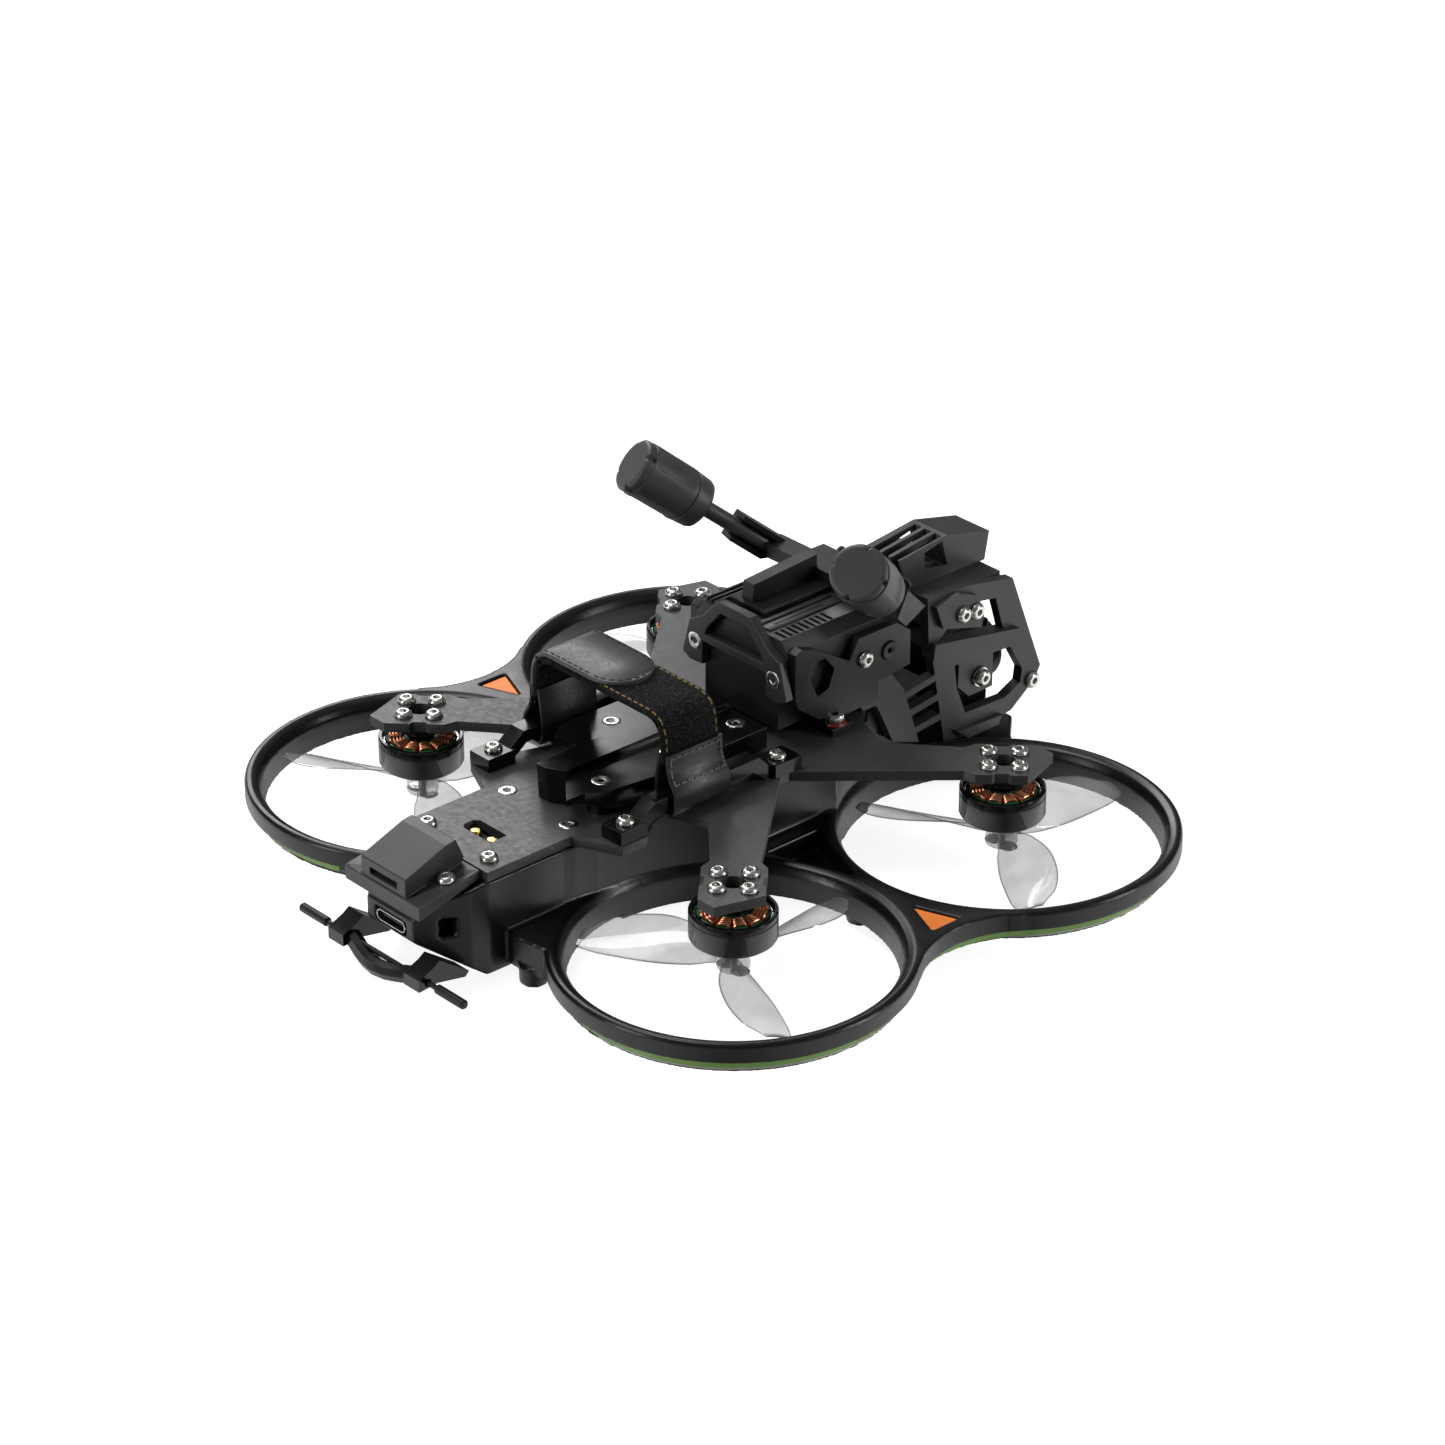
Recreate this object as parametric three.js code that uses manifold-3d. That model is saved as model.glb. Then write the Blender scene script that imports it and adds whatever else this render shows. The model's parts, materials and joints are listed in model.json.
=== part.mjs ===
// A 2.5 inch ducted camera drone with pusher motors, in millimetres.
// +Y is the nose, +X the right-hand side, +Z up. The origin is on the ground,
// midway between the four motor axes.
import * as THREE from "three";
import { mergeVertices } from "three/addons/utils/BufferGeometryUtils.js";
import Module from "manifold-3d";

const wasm = await Module();
wasm.setup();

// ---------------------------------------------------------------- driving dimensions

const MOTOR_X = 48.8; // half the side-to-side motor spacing
const MOTOR_Y = 37.5; // half the front-to-back motor spacing
const PROP_RADIUS = 31.5; // 2.5 inch propeller, cut to fit the duct
const DUCT_OUTER = 37.4; // just under MOTOR_Y, so front and rear ducts meet without crossing
const DUCT_CREST = 36.0; // inner edge of the rounded lip
const DUCT_THROAT = 33.2;
const SKIRT_RECESS = 34.6; // wall behind the light strip
const FOOT_HEIGHT = 2.5; // duct underside above the ground
const SKIRT_BOTTOM = 5.5;
const DUCT_TOP = 9.8;
const PLATE_THICK = 2.2; // carbon plate
const PLATE_TOP = 24.4;
const PLATE_BOTTOM = PLATE_TOP - PLATE_THICK;
const WALL = 1.6; // moulded walls
const GAP = 0.3; // clearance between pieces that don't touch

const BELL_RADIUS = 9.0;
const BELL_TOP = 18.5;
const BELL_BOTTOM = 11.2;
const HUB_BOTTOM = 4.9;

const CAGE_OUTER = 14; // outer face of the camera side plates
const CAGE_INNER = 11.6;
const TILT_Y = 64.9; // camera tilt axis
const TILT_Z = 20.8;

const MOTORS = [
  { name: "front_right", x: MOTOR_X, y: MOTOR_Y, spin: 1 },
  { name: "front_left", x: -MOTOR_X, y: MOTOR_Y, spin: -1 },
  { name: "rear_right", x: MOTOR_X, y: -MOTOR_Y, spin: -1 },
  { name: "rear_left", x: -MOTOR_X, y: -MOTOR_Y, spin: 1 },
];

// ---------------------------------------------------------------- materials

const finish = (color, roughness, metalness = 0) =>
  new THREE.MeshStandardMaterial({ color, roughness, metalness });

const BLACK_MOULDING = 0x26272a;
const CARBON = 0x54565a;
const ALLOY = 0x18191b;
const STEEL = 0xc9ccd0;
const COPPER = 0xb5694a;

// ---------------------------------------------------------------- geometry helpers

// A closed geometry as a solid that can be joined and cut.
function solid(geometry) {
  const bare = geometry.index ? geometry.toNonIndexed() : geometry.clone();
  bare.deleteAttribute("normal");
  bare.deleteAttribute("uv");
  const merged = mergeVertices(bare, 1e-4);
  return new wasm.Manifold(
    new wasm.Mesh({
      numProp: 3,
      vertProperties: new Float32Array(merged.attributes.position.array),
      triVerts: new Uint32Array(merged.index.array),
    }),
  );
}

// A solid as a geometry that a mesh can show.
function geometryOf(shape) {
  const mesh = shape.getMesh();
  const geometry = new THREE.BufferGeometry();
  const positions = new Float32Array((mesh.vertProperties.length / mesh.numProp) * 3);
  for (let i = 0; i < positions.length / 3; i++)
    for (let k = 0; k < 3; k++) positions[3 * i + k] = mesh.vertProperties[mesh.numProp * i + k];
  geometry.setAttribute("position", new THREE.BufferAttribute(positions, 3));
  geometry.setIndex(new THREE.BufferAttribute(new Uint32Array(mesh.triVerts), 1));
  return geometry;
}

const shapeOf = (points) => new THREE.Shape(points.map(([x, y]) => new THREE.Vector2(x, y)));

// A flat outline in plan, raised from one height to another.
function slab(outline, bottom, top) {
  const shape = Array.isArray(outline) ? shapeOf(outline) : outline;
  const options = { depth: top - bottom, bevelEnabled: false, curveSegments: 6 };
  return new THREE.ExtrudeGeometry(shape, options).translate(0, 0, bottom);
}

// An outline of (y, z) points, standing upright between two x positions.
function sideSlab(outline, x0, x1) {
  const options = { depth: x1 - x0, bevelEnabled: false };
  const geometry = new THREE.ExtrudeGeometry(shapeOf(outline), options);
  const turn = new THREE.Matrix4().makeBasis(
    new THREE.Vector3(0, 1, 0),
    new THREE.Vector3(0, 0, 1),
    new THREE.Vector3(1, 0, 0),
  );
  return geometry.applyMatrix4(turn).translate(x0, 0, 0);
}

// An outline of (x, z) points, standing upright between two y positions.
function crossSlab(outline, y0, y1) {
  const options = { depth: y1 - y0, bevelEnabled: false };
  const geometry = new THREE.ExtrudeGeometry(shapeOf(outline), options);
  return geometry.rotateX(Math.PI / 2).translate(0, y1, 0);
}

function box(x0, x1, y0, y1, z0, z1) {
  const geometry = new THREE.BoxGeometry(x1 - x0, y1 - y0, z1 - z0);
  return geometry.translate((x0 + x1) / 2, (y0 + y1) / 2, (z0 + z1) / 2);
}

// A round bar standing on z0.
function upright(radius, z0, z1, sides = 24) {
  const geometry = new THREE.CylinderGeometry(radius, radius, z1 - z0, sides);
  return geometry.rotateX(Math.PI / 2).translate(0, 0, (z0 + z1) / 2);
}

// A round bar lying along X.
function crossBar(radius, x0, x1, y, z, sides = 20) {
  const geometry = new THREE.CylinderGeometry(radius, radius, x1 - x0, sides);
  return geometry.rotateZ(Math.PI / 2).translate((x0 + x1) / 2, y, z);
}

// A profile of (radius, height) points turned round Z.
function turned(profile, segments) {
  const points = profile.map(([r, z]) => new THREE.Vector2(r, z));
  return new THREE.LatheGeometry(points, segments).rotateX(Math.PI / 2);
}

const mirrorX = (points) => points.map(([x, y]) => [-x, y]).reverse();

const drone = new THREE.Group();

function add(name, geometry, material, parent = drone) {
  const mesh = new THREE.Mesh(geometry, material);
  mesh.name = name;
  parent.add(mesh);
  return mesh;
}

// The right-hand piece, and its mirror image on the left.
function addPair(name, geometry, material, parent = drone) {
  add(`${name}_right`, geometry, material, parent);
  add(`${name}_left`, geometry, material, parent).scale.x = -1;
}

const joined = (...shapes) => shapes.reduce((whole, shape) => whole.add(shape));
const cut = (body, ...tools) => tools.reduce((left, tool) => left.subtract(tool), body);
const bothSides = (shape) => shape.add(shape.mirror([1, 0, 0]));
const symmetric = (rightHalf) => [...rightHalf, ...mirrorX(rightHalf)];

// ---------------------------------------------------------------- duct frame

const RING_SIDES = 40;
const WAIST_CENTRE_X = 97; // centre of the hollow curve between front and rear ducts
const THROAT_TOP = 5.6;
const LIP_RADIUS = 35.15; // bottom lip that holds the light strip up
const LIP_THICK = 0.6;
const POD_WALL_RADIUS = 34.6; // the pod's sides wrap round the propellers
const POD_FLOOR = 1.2;
const POD_SIDE = 21.5;
const POD_WAIST = MOTOR_X - POD_WALL_RADIUS;
const POD_NOSE_Y = 49;
const TAIL_Y = -84.8;

// Outline of the web that joins a front and a rear duct of the given radius.
function webOutline(ringRadius) {
  const reach = WAIST_CENTRE_X - MOTOR_X;
  const radius = Math.hypot(reach, MOTOR_Y) - ringRadius;
  const half = Math.atan2(MOTOR_Y, reach);
  const outline = new THREE.Shape();
  outline.moveTo(MOTOR_X, MOTOR_Y);
  outline.lineTo(18, 12);
  outline.lineTo(18, -12);
  outline.lineTo(MOTOR_X, -MOTOR_Y);
  outline.absarc(WAIST_CENTRE_X, 0, radius, Math.PI + half, Math.PI - half, true);
  return outline;
}

// The duct filled in, before its air passage is cut.
const ductDisc = () =>
  turned(
    [
      [0, FOOT_HEIGHT],
      [LIP_RADIUS, FOOT_HEIGHT],
      [LIP_RADIUS, FOOT_HEIGHT + LIP_THICK],
      [SKIRT_RECESS, FOOT_HEIGHT + LIP_THICK],
      [SKIRT_RECESS, SKIRT_BOTTOM],
      [DUCT_OUTER, SKIRT_BOTTOM],
      [DUCT_OUTER, DUCT_TOP - 0.6],
      [DUCT_OUTER - 0.6, DUCT_TOP],
      [0, DUCT_TOP],
    ],
    RING_SIDES,
  );

// The air passage: a straight throat, a quarter ellipse widening to the given
// radius, then straight up.
function ductBore(mouth) {
  const widening = DUCT_CREST - DUCT_THROAT;
  const turn = Math.acos(1 - (mouth - DUCT_THROAT) / widening);
  const steps = 3;
  const profile = [
    [0, 0],
    [DUCT_THROAT, 0],
  ];
  for (let i = 0; i <= steps; i++) {
    const angle = (turn * i) / steps;
    const radius = DUCT_THROAT + widening * (1 - Math.cos(angle));
    profile.push([radius, THROAT_TOP + (DUCT_TOP - THROAT_TOP) * Math.sin(angle)]);
  }
  profile.push([mouth, PLATE_TOP + 1]);
  profile.push([0, PLATE_TOP + 1]);
  return turned(profile, RING_SIDES);
}

// The same solid at each of the four motors.
const atMotors = (geometry) =>
  MOTORS.map(({ x, y }) => solid(geometry.clone().translate(x, y, 0))).reduce((a, b) => a.add(b));

// Plan outline of the pod under the carbon plate, drawn in by a wall thickness.
const podOutline = (inset) =>
  symmetric([
    [7.5 - inset, TAIL_Y + inset],
    [13 - inset, -75 + inset / 2],
    [14 - inset, -71],
    [POD_WAIST - inset, -MOTOR_Y],
    [POD_SIDE - inset, -MOTOR_Y],
    [POD_SIDE - inset, 27],
    [CAGE_INNER - GAP - inset, 34],
    [CAGE_INNER - GAP - inset, POD_NOSE_Y - inset],
  ]);

// Wedge below the sloping underside of the tail, seen from the side.
const belowTail = (inset) =>
  solid(
    sideSlab(
      [
        [-95, -10],
        [-66, -10],
        [-66, -3 + inset],
        [-95, 18 + inset],
      ],
      -30,
      30,
    ),
  );

function podShell() {
  const outside = cut(
    solid(slab(podOutline(0), POD_FLOOR, PLATE_BOTTOM)),
    atMotors(ductBore(POD_WALL_RADIUS)),
    belowTail(0),
  );
  const wrap = upright(POD_WALL_RADIUS + WALL, 0, 30, RING_SIDES);
  const hollow = cut(
    solid(slab(podOutline(WALL), POD_FLOOR + WALL, 30)),
    atMotors(wrap),
    belowTail(WALL),
  );
  return { outside, hollow };
}

// Screw bosses and board posts that stand on the pod's floor.
const BOARD_HOLE = 10; // half the spacing of the circuit board holes
const ESC_BOTTOM = 6;
function podPosts() {
  const boss = upright(2.6, POD_FLOOR, PLATE_BOTTOM, 16);
  const post = joined(
    solid(upright(2.2, POD_FLOOR, ESC_BOTTOM, 12)),
    solid(upright(1.2, POD_FLOOR, 16, 12)),
  );
  const posts = [-1, 1].map((side) => post.translate([BOARD_HOLE, side * BOARD_HOLE, 0]));
  const bosses = [-46.5, 20].map((y) => solid(boss.clone().translate(9.5, y, 0)));
  return bothSides(joined(...posts, ...bosses));
}

const INSERT_APEX_X = 61;
const INSERT_BASE_X = 70.7;
const INSERT_HALF = 3.8;
const INSERT_FLOOR = 6.5;

// Triangle that points at the pod, shrunk by the given margin.
const insertOutline = (margin) => [
  [INSERT_APEX_X + 2.4 * margin, 0],
  [INSERT_BASE_X - margin, -INSERT_HALF + 1.4 * margin],
  [INSERT_BASE_X - margin, INSERT_HALF - 1.4 * margin],
];

// Hollow in the top of the web, between the pod and the insert.
const WEB_POCKET = [
  [25.5, -7.5],
  [44, -0.4],
  [44, 0.4],
  [25.5, 7.5],
];

const BELLY_PAD_RADIUS = 9; // flat pad in the middle of the pod's underside
const FOOT_RADIUS = 3;
const FEET = [
  [46, 0],
  [20, -65],
  [20, 65],
];

// Gusset between the pod and a rear duct.
const TAIL_WEB = [
  [10, -66],
  [16, -67.2],
  [24, -66.4],
  [34, -60],
  [30, -50],
  [12, -48],
];

const NOSE_DECK_TOP = 5.9; // clears the tilting camera
const NOSE_DECK = [
  [24, 66.4],
  [17, 72],
  [12, 77.5],
  [-12, 77.5],
  [-17, 72],
  [-24, 66.4],
  [-30, 45],
  [30, 45],
];

const USB_Z = 12.9;

function ductFrame() {
  const { outside, hollow } = podShell();
  const tailWeb = solid(slab(TAIL_WEB, FOOT_HEIGHT, DUCT_TOP));
  const web = joined(
    solid(slab(webOutline(SKIRT_RECESS), FOOT_HEIGHT, SKIRT_BOTTOM)),
    solid(slab(webOutline(DUCT_OUTER), SKIRT_BOTTOM, DUCT_TOP)),
    tailWeb,
  );
  const rings = joined(
    atMotors(ductDisc()),
    bothSides(web),
    solid(slab(NOSE_DECK, FOOT_HEIGHT, NOSE_DECK_TOP)),
  );
  const feet = FEET.map(([x, y]) => solid(upright(FOOT_RADIUS, 0, 4, 20).translate(x, y, 0)));
  const open = cut(
    rings.add(bothSides(joined(...feet))),
    atMotors(ductBore(DUCT_CREST)),
    bothSides(solid(slab(insertOutline(0), INSERT_FLOOR, 12))),
    bothSides(solid(slab(WEB_POCKET, 5, 12))),
  );
  const bellyPad = solid(upright(BELLY_PAD_RADIUS, 0, POD_FLOOR + 0.5, 32));
  const usbFrame = solid(box(-7.4, 7.4, TAIL_Y - 0.5, TAIL_Y + 0.5, 11.2, 15.8));
  const usbHole = solid(box(-4.8, 4.8, TAIL_Y - 2, TAIL_Y + 4, USB_Z - 1.6, USB_Z + 1.6));
  const vent = solid(box(-30, 30, -80.6, -77.4, 11.5, 15.5));
  const underCap = solid(
    sideSlab(
      [
        [-95, 15.6],
        [-71.4, PLATE_BOTTOM],
        [-71.4, 30],
        [-95, 30],
      ],
      -30,
      30,
    ),
  );
  const closed = joined(open, outside, usbFrame, bellyPad);
  return cut(closed, hollow, usbHole, vent, underCap).add(podPosts());
}

add("duct_frame", geometryOf(ductFrame()), finish(BLACK_MOULDING, 0.5));
addPair(
  "junction_insert",
  slab(insertOutline(0.15), INSERT_FLOOR, DUCT_TOP - 0.5),
  finish(0xfa823c, 0.55),
);

// Translucent light strip in the recess under the ducts of one side.
function lightStrip() {
  const bottom = FOOT_HEIGHT + LIP_THICK + 0.1;
  const top = SKIRT_BOTTOM - 0.1;
  const band = (radius) => {
    const disc = upright(radius, bottom, top, RING_SIDES);
    const rings = joined(
      solid(disc.clone().translate(MOTOR_X, MOTOR_Y, 0)),
      solid(disc.clone().translate(MOTOR_X, -MOTOR_Y, 0)),
    );
    return rings.add(solid(slab(webOutline(radius), bottom, top)));
  };
  const inboard = solid(box(0, 36, -80, 80, 0, 10));
  return cut(band(SKIRT_RECESS + 0.6), band(SKIRT_RECESS + 0.1), inboard);
}

addPair("light_strip", geometryOf(lightStrip()), finish(0x7fae5c, 0.4));

// ---------------------------------------------------------------- carbon plate

// A point given along an arm: outward from the motor, and sideways towards the middle.
const onArm = (outward, sideways) => [
  MOTOR_X + (outward + sideways) * Math.SQRT1_2,
  -MOTOR_Y + (sideways - outward) * Math.SQRT1_2,
];

// Right-hand edge of one rear arm and its motor pad, from the tail side round to the waist.
const REAR_ARM = [
  onArm(-25, -6.4),
  onArm(-8.2, -5.1),
  onArm(-5.8, -6.7),
  onArm(-2.4, -6.7),
  onArm(-1.7, -5.9),
  onArm(0.9, -5.9),
  onArm(1.6, -6.7),
  onArm(6.9, -6.7),
  onArm(10.2, -3.4),
  onArm(5, 6.6),
  onArm(1.6, 6.6),
  onArm(0.9, 5.9),
  onArm(-1.7, 5.9),
  onArm(-2.4, 6.6),
  onArm(-5.8, 6.6),
  onArm(-8.2, 5.1),
  onArm(-43.9, 7.4),
];

const FRONT_ARM = REAR_ARM.map(([x, y]) => [x, -y]).reverse();

const PLATE_NOSE_Y = 50.5;
const PLATE_OUTLINE = symmetric([
  [13.6, -71.2],
  [13.6, -49.2],
  [23.8, -44.5],
  [23.8, -38],
  [20.5, -33.5],
  [18.5, -27],
  ...REAR_ARM,
  ...FRONT_ARM,
  [18.5, 27],
  [15.5, 29.5],
  [CAGE_INNER - GAP, 34],
  [CAGE_INNER - GAP, PLATE_NOSE_Y],
]);

const CONNECTOR_SLOT = [
  [-4.7, -62],
  [-3.6, -63],
  [4.7, -63],
  [4.7, -58.6],
  [-3.6, -58.6],
  [-4.7, -59.6],
];

function mainPlate() {
  const motorHoles = MOTORS.map(({ x, y }) =>
    solid(upright(2.5, 20, 30, 16).translate(x, y, 0)),
  );
  const plate = solid(slab(PLATE_OUTLINE, PLATE_BOTTOM, PLATE_TOP));
  return cut(plate, ...motorHoles, solid(slab(CONNECTOR_SLOT, 20, 30)));
}

add("main_plate", geometryOf(mainPlate()), finish(CARBON, 0.55, 0.1));

// ---------------------------------------------------------------- motors and propellers

const STATOR_RADIUS = 7.4;
const TEETH = 12;

// Lamination outline: a round core with straight teeth.
function statorOutline() {
  const points = [];
  const halfTooth = 0.75;
  const core = 3.4;
  for (let i = 0; i < TEETH; i++) {
    const angle = (2 * Math.PI * i) / TEETH;
    const reach = Math.sqrt(core * core - halfTooth * halfTooth);
    for (const [u, v] of [
      [reach, -halfTooth],
      [STATOR_RADIUS, -halfTooth],
      [STATOR_RADIUS, halfTooth],
      [reach, halfTooth],
    ])
      points.push([
        u * Math.cos(angle) - v * Math.sin(angle),
        u * Math.sin(angle) + v * Math.cos(angle),
      ]);
  }
  return points;
}

// The part of the motor that's screwed to the plate: foot, bearing tube and laminations.
function statorBody() {
  const foot = solid(upright(6.2, 20.9, PLATE_BOTTOM, 16));
  const tube = solid(upright(3, 13, 21, 10));
  const teeth = solid(slab(statorOutline(), 13.8, 18.2));
  const bore = solid(upright(1.5, 10, 25, 8));
  return cut(joined(foot, tube, teeth), bore);
}

// The wire wound round all the teeth, in one band.
function windingBody() {
  const band = cut(solid(upright(6.9, 13, 19, 16)), solid(upright(3.9, 12, 20, 12)));
  return cut(band, solid(slab(statorOutline(), 13.75, 18.25)));
}

const bellGeometry = () =>
  turned(
    [
      [0, BELL_BOTTOM],
      [7.6, BELL_BOTTOM],
      [BELL_RADIUS, BELL_BOTTOM + 1.2],
      [BELL_RADIUS, BELL_TOP],
      [8.3, BELL_TOP],
      [7.8, BELL_TOP - 0.5],
      [7.8, BELL_BOTTOM + 1.4],
      [1, BELL_BOTTOM + 1.4],
      [1, 20.5],
      [0, 20.5],
    ],
    20,
  );

// Blade sections from root to tip: radius, chord, lead of the mid-chord, twist in degrees.
const BLADE = [
  [2.5, 5, 0, 42],
  [8, 8.5, 0.6, 34],
  [15, 11, 1, 26],
  [22, 10.8, 0.6, 20],
  [28.5, 8.2, -0.8, 16],
  [PROP_RADIUS, 3.4, -2.4, 14],
];
const BLADE_THICK = 0.9;
const PROP_MID_Z = 7.7;

// One twisted blade reaching along +X.
function bladeGeometry() {
  const around = 6;
  const positions = [];
  for (const [radius, chord, lead, twist] of BLADE) {
    const pitch = THREE.MathUtils.degToRad(twist);
    for (let k = 0; k < around; k++) {
      const angle = (2 * Math.PI * k) / around;
      const u = lead + (chord / 2) * Math.cos(angle);
      const w = (BLADE_THICK / 2) * Math.sin(angle);
      positions.push(
        radius,
        u * Math.cos(pitch) - w * Math.sin(pitch),
        PROP_MID_Z + u * Math.sin(pitch) + w * Math.cos(pitch),
      );
    }
  }
  const faces = [];
  const last = (BLADE.length - 1) * around;
  for (let k = 0; k < around; k++) {
    const next = (k + 1) % around;
    for (let s = 0; s < last; s += around) {
      faces.push(s + k, s + around + k, s + next);
      faces.push(s + next, s + around + k, s + around + next);
    }
    if (k > 1) faces.push(0, k - 1, k, last, last + k, last + k - 1);
  }
  const geometry = new THREE.BufferGeometry();
  geometry.setAttribute("position", new THREE.Float32BufferAttribute(positions, 3));
  geometry.setIndex(faces.reverse());
  return geometry;
}

const BLADE_ANGLES = [90, 210, 330];

function propBody(spin) {
  const hub = solid(upright(3.4, HUB_BOTTOM, BELL_BOTTOM, 16));
  const blade = solid(bladeGeometry());
  const blades = BLADE_ANGLES.map((angle) => blade.rotate([0, 0, angle]));
  const right = joined(hub, ...blades);
  return spin > 0 ? right : right.mirror([1, 0, 0]);
}

for (const { name, x, y, spin } of MOTORS) {
  const motor = new THREE.Group();
  motor.position.set(x, y, 0);
  drone.add(motor);
  add(`stator_${name}`, geometryOf(statorBody()), finish(0x3b3d3a, 0.5, 0.6), motor);
  add(`windings_${name}`, geometryOf(windingBody()), finish(COPPER, 0.35, 0.9), motor);
  add(`bell_${name}`, bellGeometry(), finish(ALLOY, 0.25, 0.8), motor);
  add(`propeller_${name}`, geometryOf(propBody(spin)), finish(0xe8eaec, 0.15), motor);
}

// ---------------------------------------------------------------- battery bay

const TRAY_TOP = 30.8;
const RAIL_TOP = 32.3;
const TRAY_RIGHT = [
  [3.3, -41.9],
  [10.5, -47.9],
  [10.6, -43.1],
  [13.1, -40.3],
  [14.8, -28],
  [14.5, 3],
  [3.3, 3],
];
const TRAY_LEFT = [
  [-14.5, 3],
  [-14.8, -28],
  [-12, -32],
  [-3.3, -31],
  [-3.3, 3],
];

// Low moulded tray on two skirts, with a raised rail down the middle.
function batteryTray() {
  const tops = joined(
    solid(slab(TRAY_RIGHT, TRAY_TOP - 1.6, TRAY_TOP)),
    solid(slab(TRAY_LEFT, TRAY_TOP - 1.6, TRAY_TOP)),
  );
  const rail = solid(
    sideSlab(
      [
        [-43.5, PLATE_TOP],
        [3, PLATE_TOP],
        [3, RAIL_TOP],
        [-44, RAIL_TOP],
      ],
      -3.3,
      3.3,
    ),
  );
  const stubs = [
    [8.9, -37.3],
    [8.9, -19],
    [8.9, -0.7],
    [-8.9, -19],
    [-8.9, -0.7],
  ].map(([x, y]) => solid(upright(3, PLATE_TOP, TRAY_TOP - 0.5, 10).translate(x, y, 0)));
  const slanted = solid(
    slab(
      [
        [-4, -50],
        [4, -50],
        [4, -41.3],
        [-4, -45.9],
      ],
      20,
      40,
    ),
  );
  const apron = solid(
    sideSlab(
      [
        [-47, 29.6],
        [-36, 26],
        [2.9, 26],
        [2.9, 30],
        [-47, 30],
      ],
      -14.6,
      14.6,
    ),
  );
  const outer = solid(slab(TRAY_RIGHT, 25, 30));
  const wall = outer.intersect(apron);
  const inner = solid(box(-20, 13, -39, 2, 20, 29.5));
  return joined(tops, cut(rail, slanted), ...stubs, cut(wall, inner));
}

add("battery_tray", geometryOf(batteryTray()), finish(0x1d1e20, 0.3));

// Strap bar on one side: two feet with a raised bar between them.
const RAIL_X = 20.4;
const STRAP_BAR_HALF = 2;
function strapRail() {
  const profile = [
    [-44.8, PLATE_TOP],
    [-38, PLATE_TOP],
    [-33.8, 27.4],
    [-8.2, 27.4],
    [-4.6, PLATE_TOP],
    [4.3, PLATE_TOP],
    [4.3, 27.4],
    [-3.6, 27.4],
    [-6.5, 30.2],
    [-34.6, 30.2],
    [-38.4, 27.4],
    [-44.8, 27.4],
  ];
  const bar = solid(sideSlab(profile, RAIL_X - STRAP_BAR_HALF, RAIL_X + STRAP_BAR_HALF));
  const feet = [-41.4, 0.4].map((y) => solid(box(17.6, 23.6, y - 3.4, y + 3.8, PLATE_TOP, 27.4)));
  return joined(bar, ...feet);
}

addPair("strap_rail", geometryOf(strapRail()), finish(0x1d1e20, 0.35));

// Strap looped under both bars and arched over the battery bay.
const STRAP_FRONT = -15.5;
const STRAP_WIDTH = 15;
function batteryStrap() {
  const outside = symmetric([
    [18.6, 24.6],
    [22.6, 24.6],
    [23.8, 26.4],
    [23.8, 30.6],
    [21, 34.5],
    [19.6, 45],
    [17.6, 46.8],
  ]);
  const inside = symmetric([
    [17.6, 32.4],
    [17.6, 44.2],
    [16.9, 45],
  ]);
  const band = solid(crossSlab(outside, STRAP_FRONT - STRAP_WIDTH, STRAP_FRONT));
  const reach = [STRAP_FRONT - STRAP_WIDTH - 1, STRAP_FRONT + 1];
  const bay = solid(crossSlab(inside, ...reach));
  const lower = solid(
    crossSlab(
      symmetric([
        [16.4, 20],
        [16.4, 30],
        [17.6, 32.6],
      ]),
      ...reach,
    ),
  );
  const bars = bothSides(
    solid(
      crossSlab(
        [
          [18.1, 26.4],
          [22.7, 26.4],
          [22.7, 30.4],
          [18.1, 31.2],
        ],
        ...reach,
      ),
    ),
  );
  return cut(band, bay, lower, bars);
}

add("battery_strap", geometryOf(batteryStrap()), finish(0x222326, 0.8));

// ---------------------------------------------------------------- tail

const CAP_REAR_Y = -87;
const CAP_FRONT_Y = -71.5;

// Sloping flange with a raised housing on it.
function tailCap() {
  const flange = solid(
    sideSlab(
      [
        [CAP_REAR_Y, 18.4],
        [CAP_FRONT_Y, 22.5],
        [CAP_FRONT_Y, 24.4],
        [CAP_REAR_Y, 21.6],
      ],
      -11.8,
      11.8,
    ),
  );
  const housing = solid(
    sideSlab(
      [
        [CAP_REAR_Y + 0.4, 21],
        [CAP_FRONT_Y - 1, 24],
        [CAP_FRONT_Y, 25.4],
        [-73.5, 30],
        [-76, 29.6],
        [CAP_REAR_Y + 0.4, 25.7],
      ],
      -7,
      7,
    ),
  );
  const slot = solid(box(-4.2, 4.2, -90, CAP_REAR_Y + 3, 22.6, 24));
  return cut(flange.add(housing), slot);
}

add("tail_cap", geometryOf(tailCap()), finish(0x2b2c2f, 0.55));

// USB socket board that looks out of the pod's rear face.
add("usb_board", box(-6.5, 6.5, -82, -73, USB_Z - 2.2, USB_Z - 1.4), finish(0x20402a, 0.5));
const usbShell = cut(
  solid(box(-4.5, 4.5, TAIL_Y - 0.3, -77.5, USB_Z - 1.3, USB_Z + 1.4)),
  solid(box(-4.1, 4.1, TAIL_Y - 2, -79, USB_Z - 0.9, USB_Z + 1)),
);
const usbTongue = solid(box(-3.4, 3.4, TAIL_Y + 0.6, -78.8, USB_Z - 0.3, USB_Z + 0.3));
add("usb_socket", geometryOf(usbShell.add(usbTongue)), finish(STEEL, 0.3, 1));

const ANTENNA_Y = -87.5;
const ANTENNA_Z = 6;
const ANTENNA_HALF = 26.8;
const SLEEVE_START = 18.4;

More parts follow.
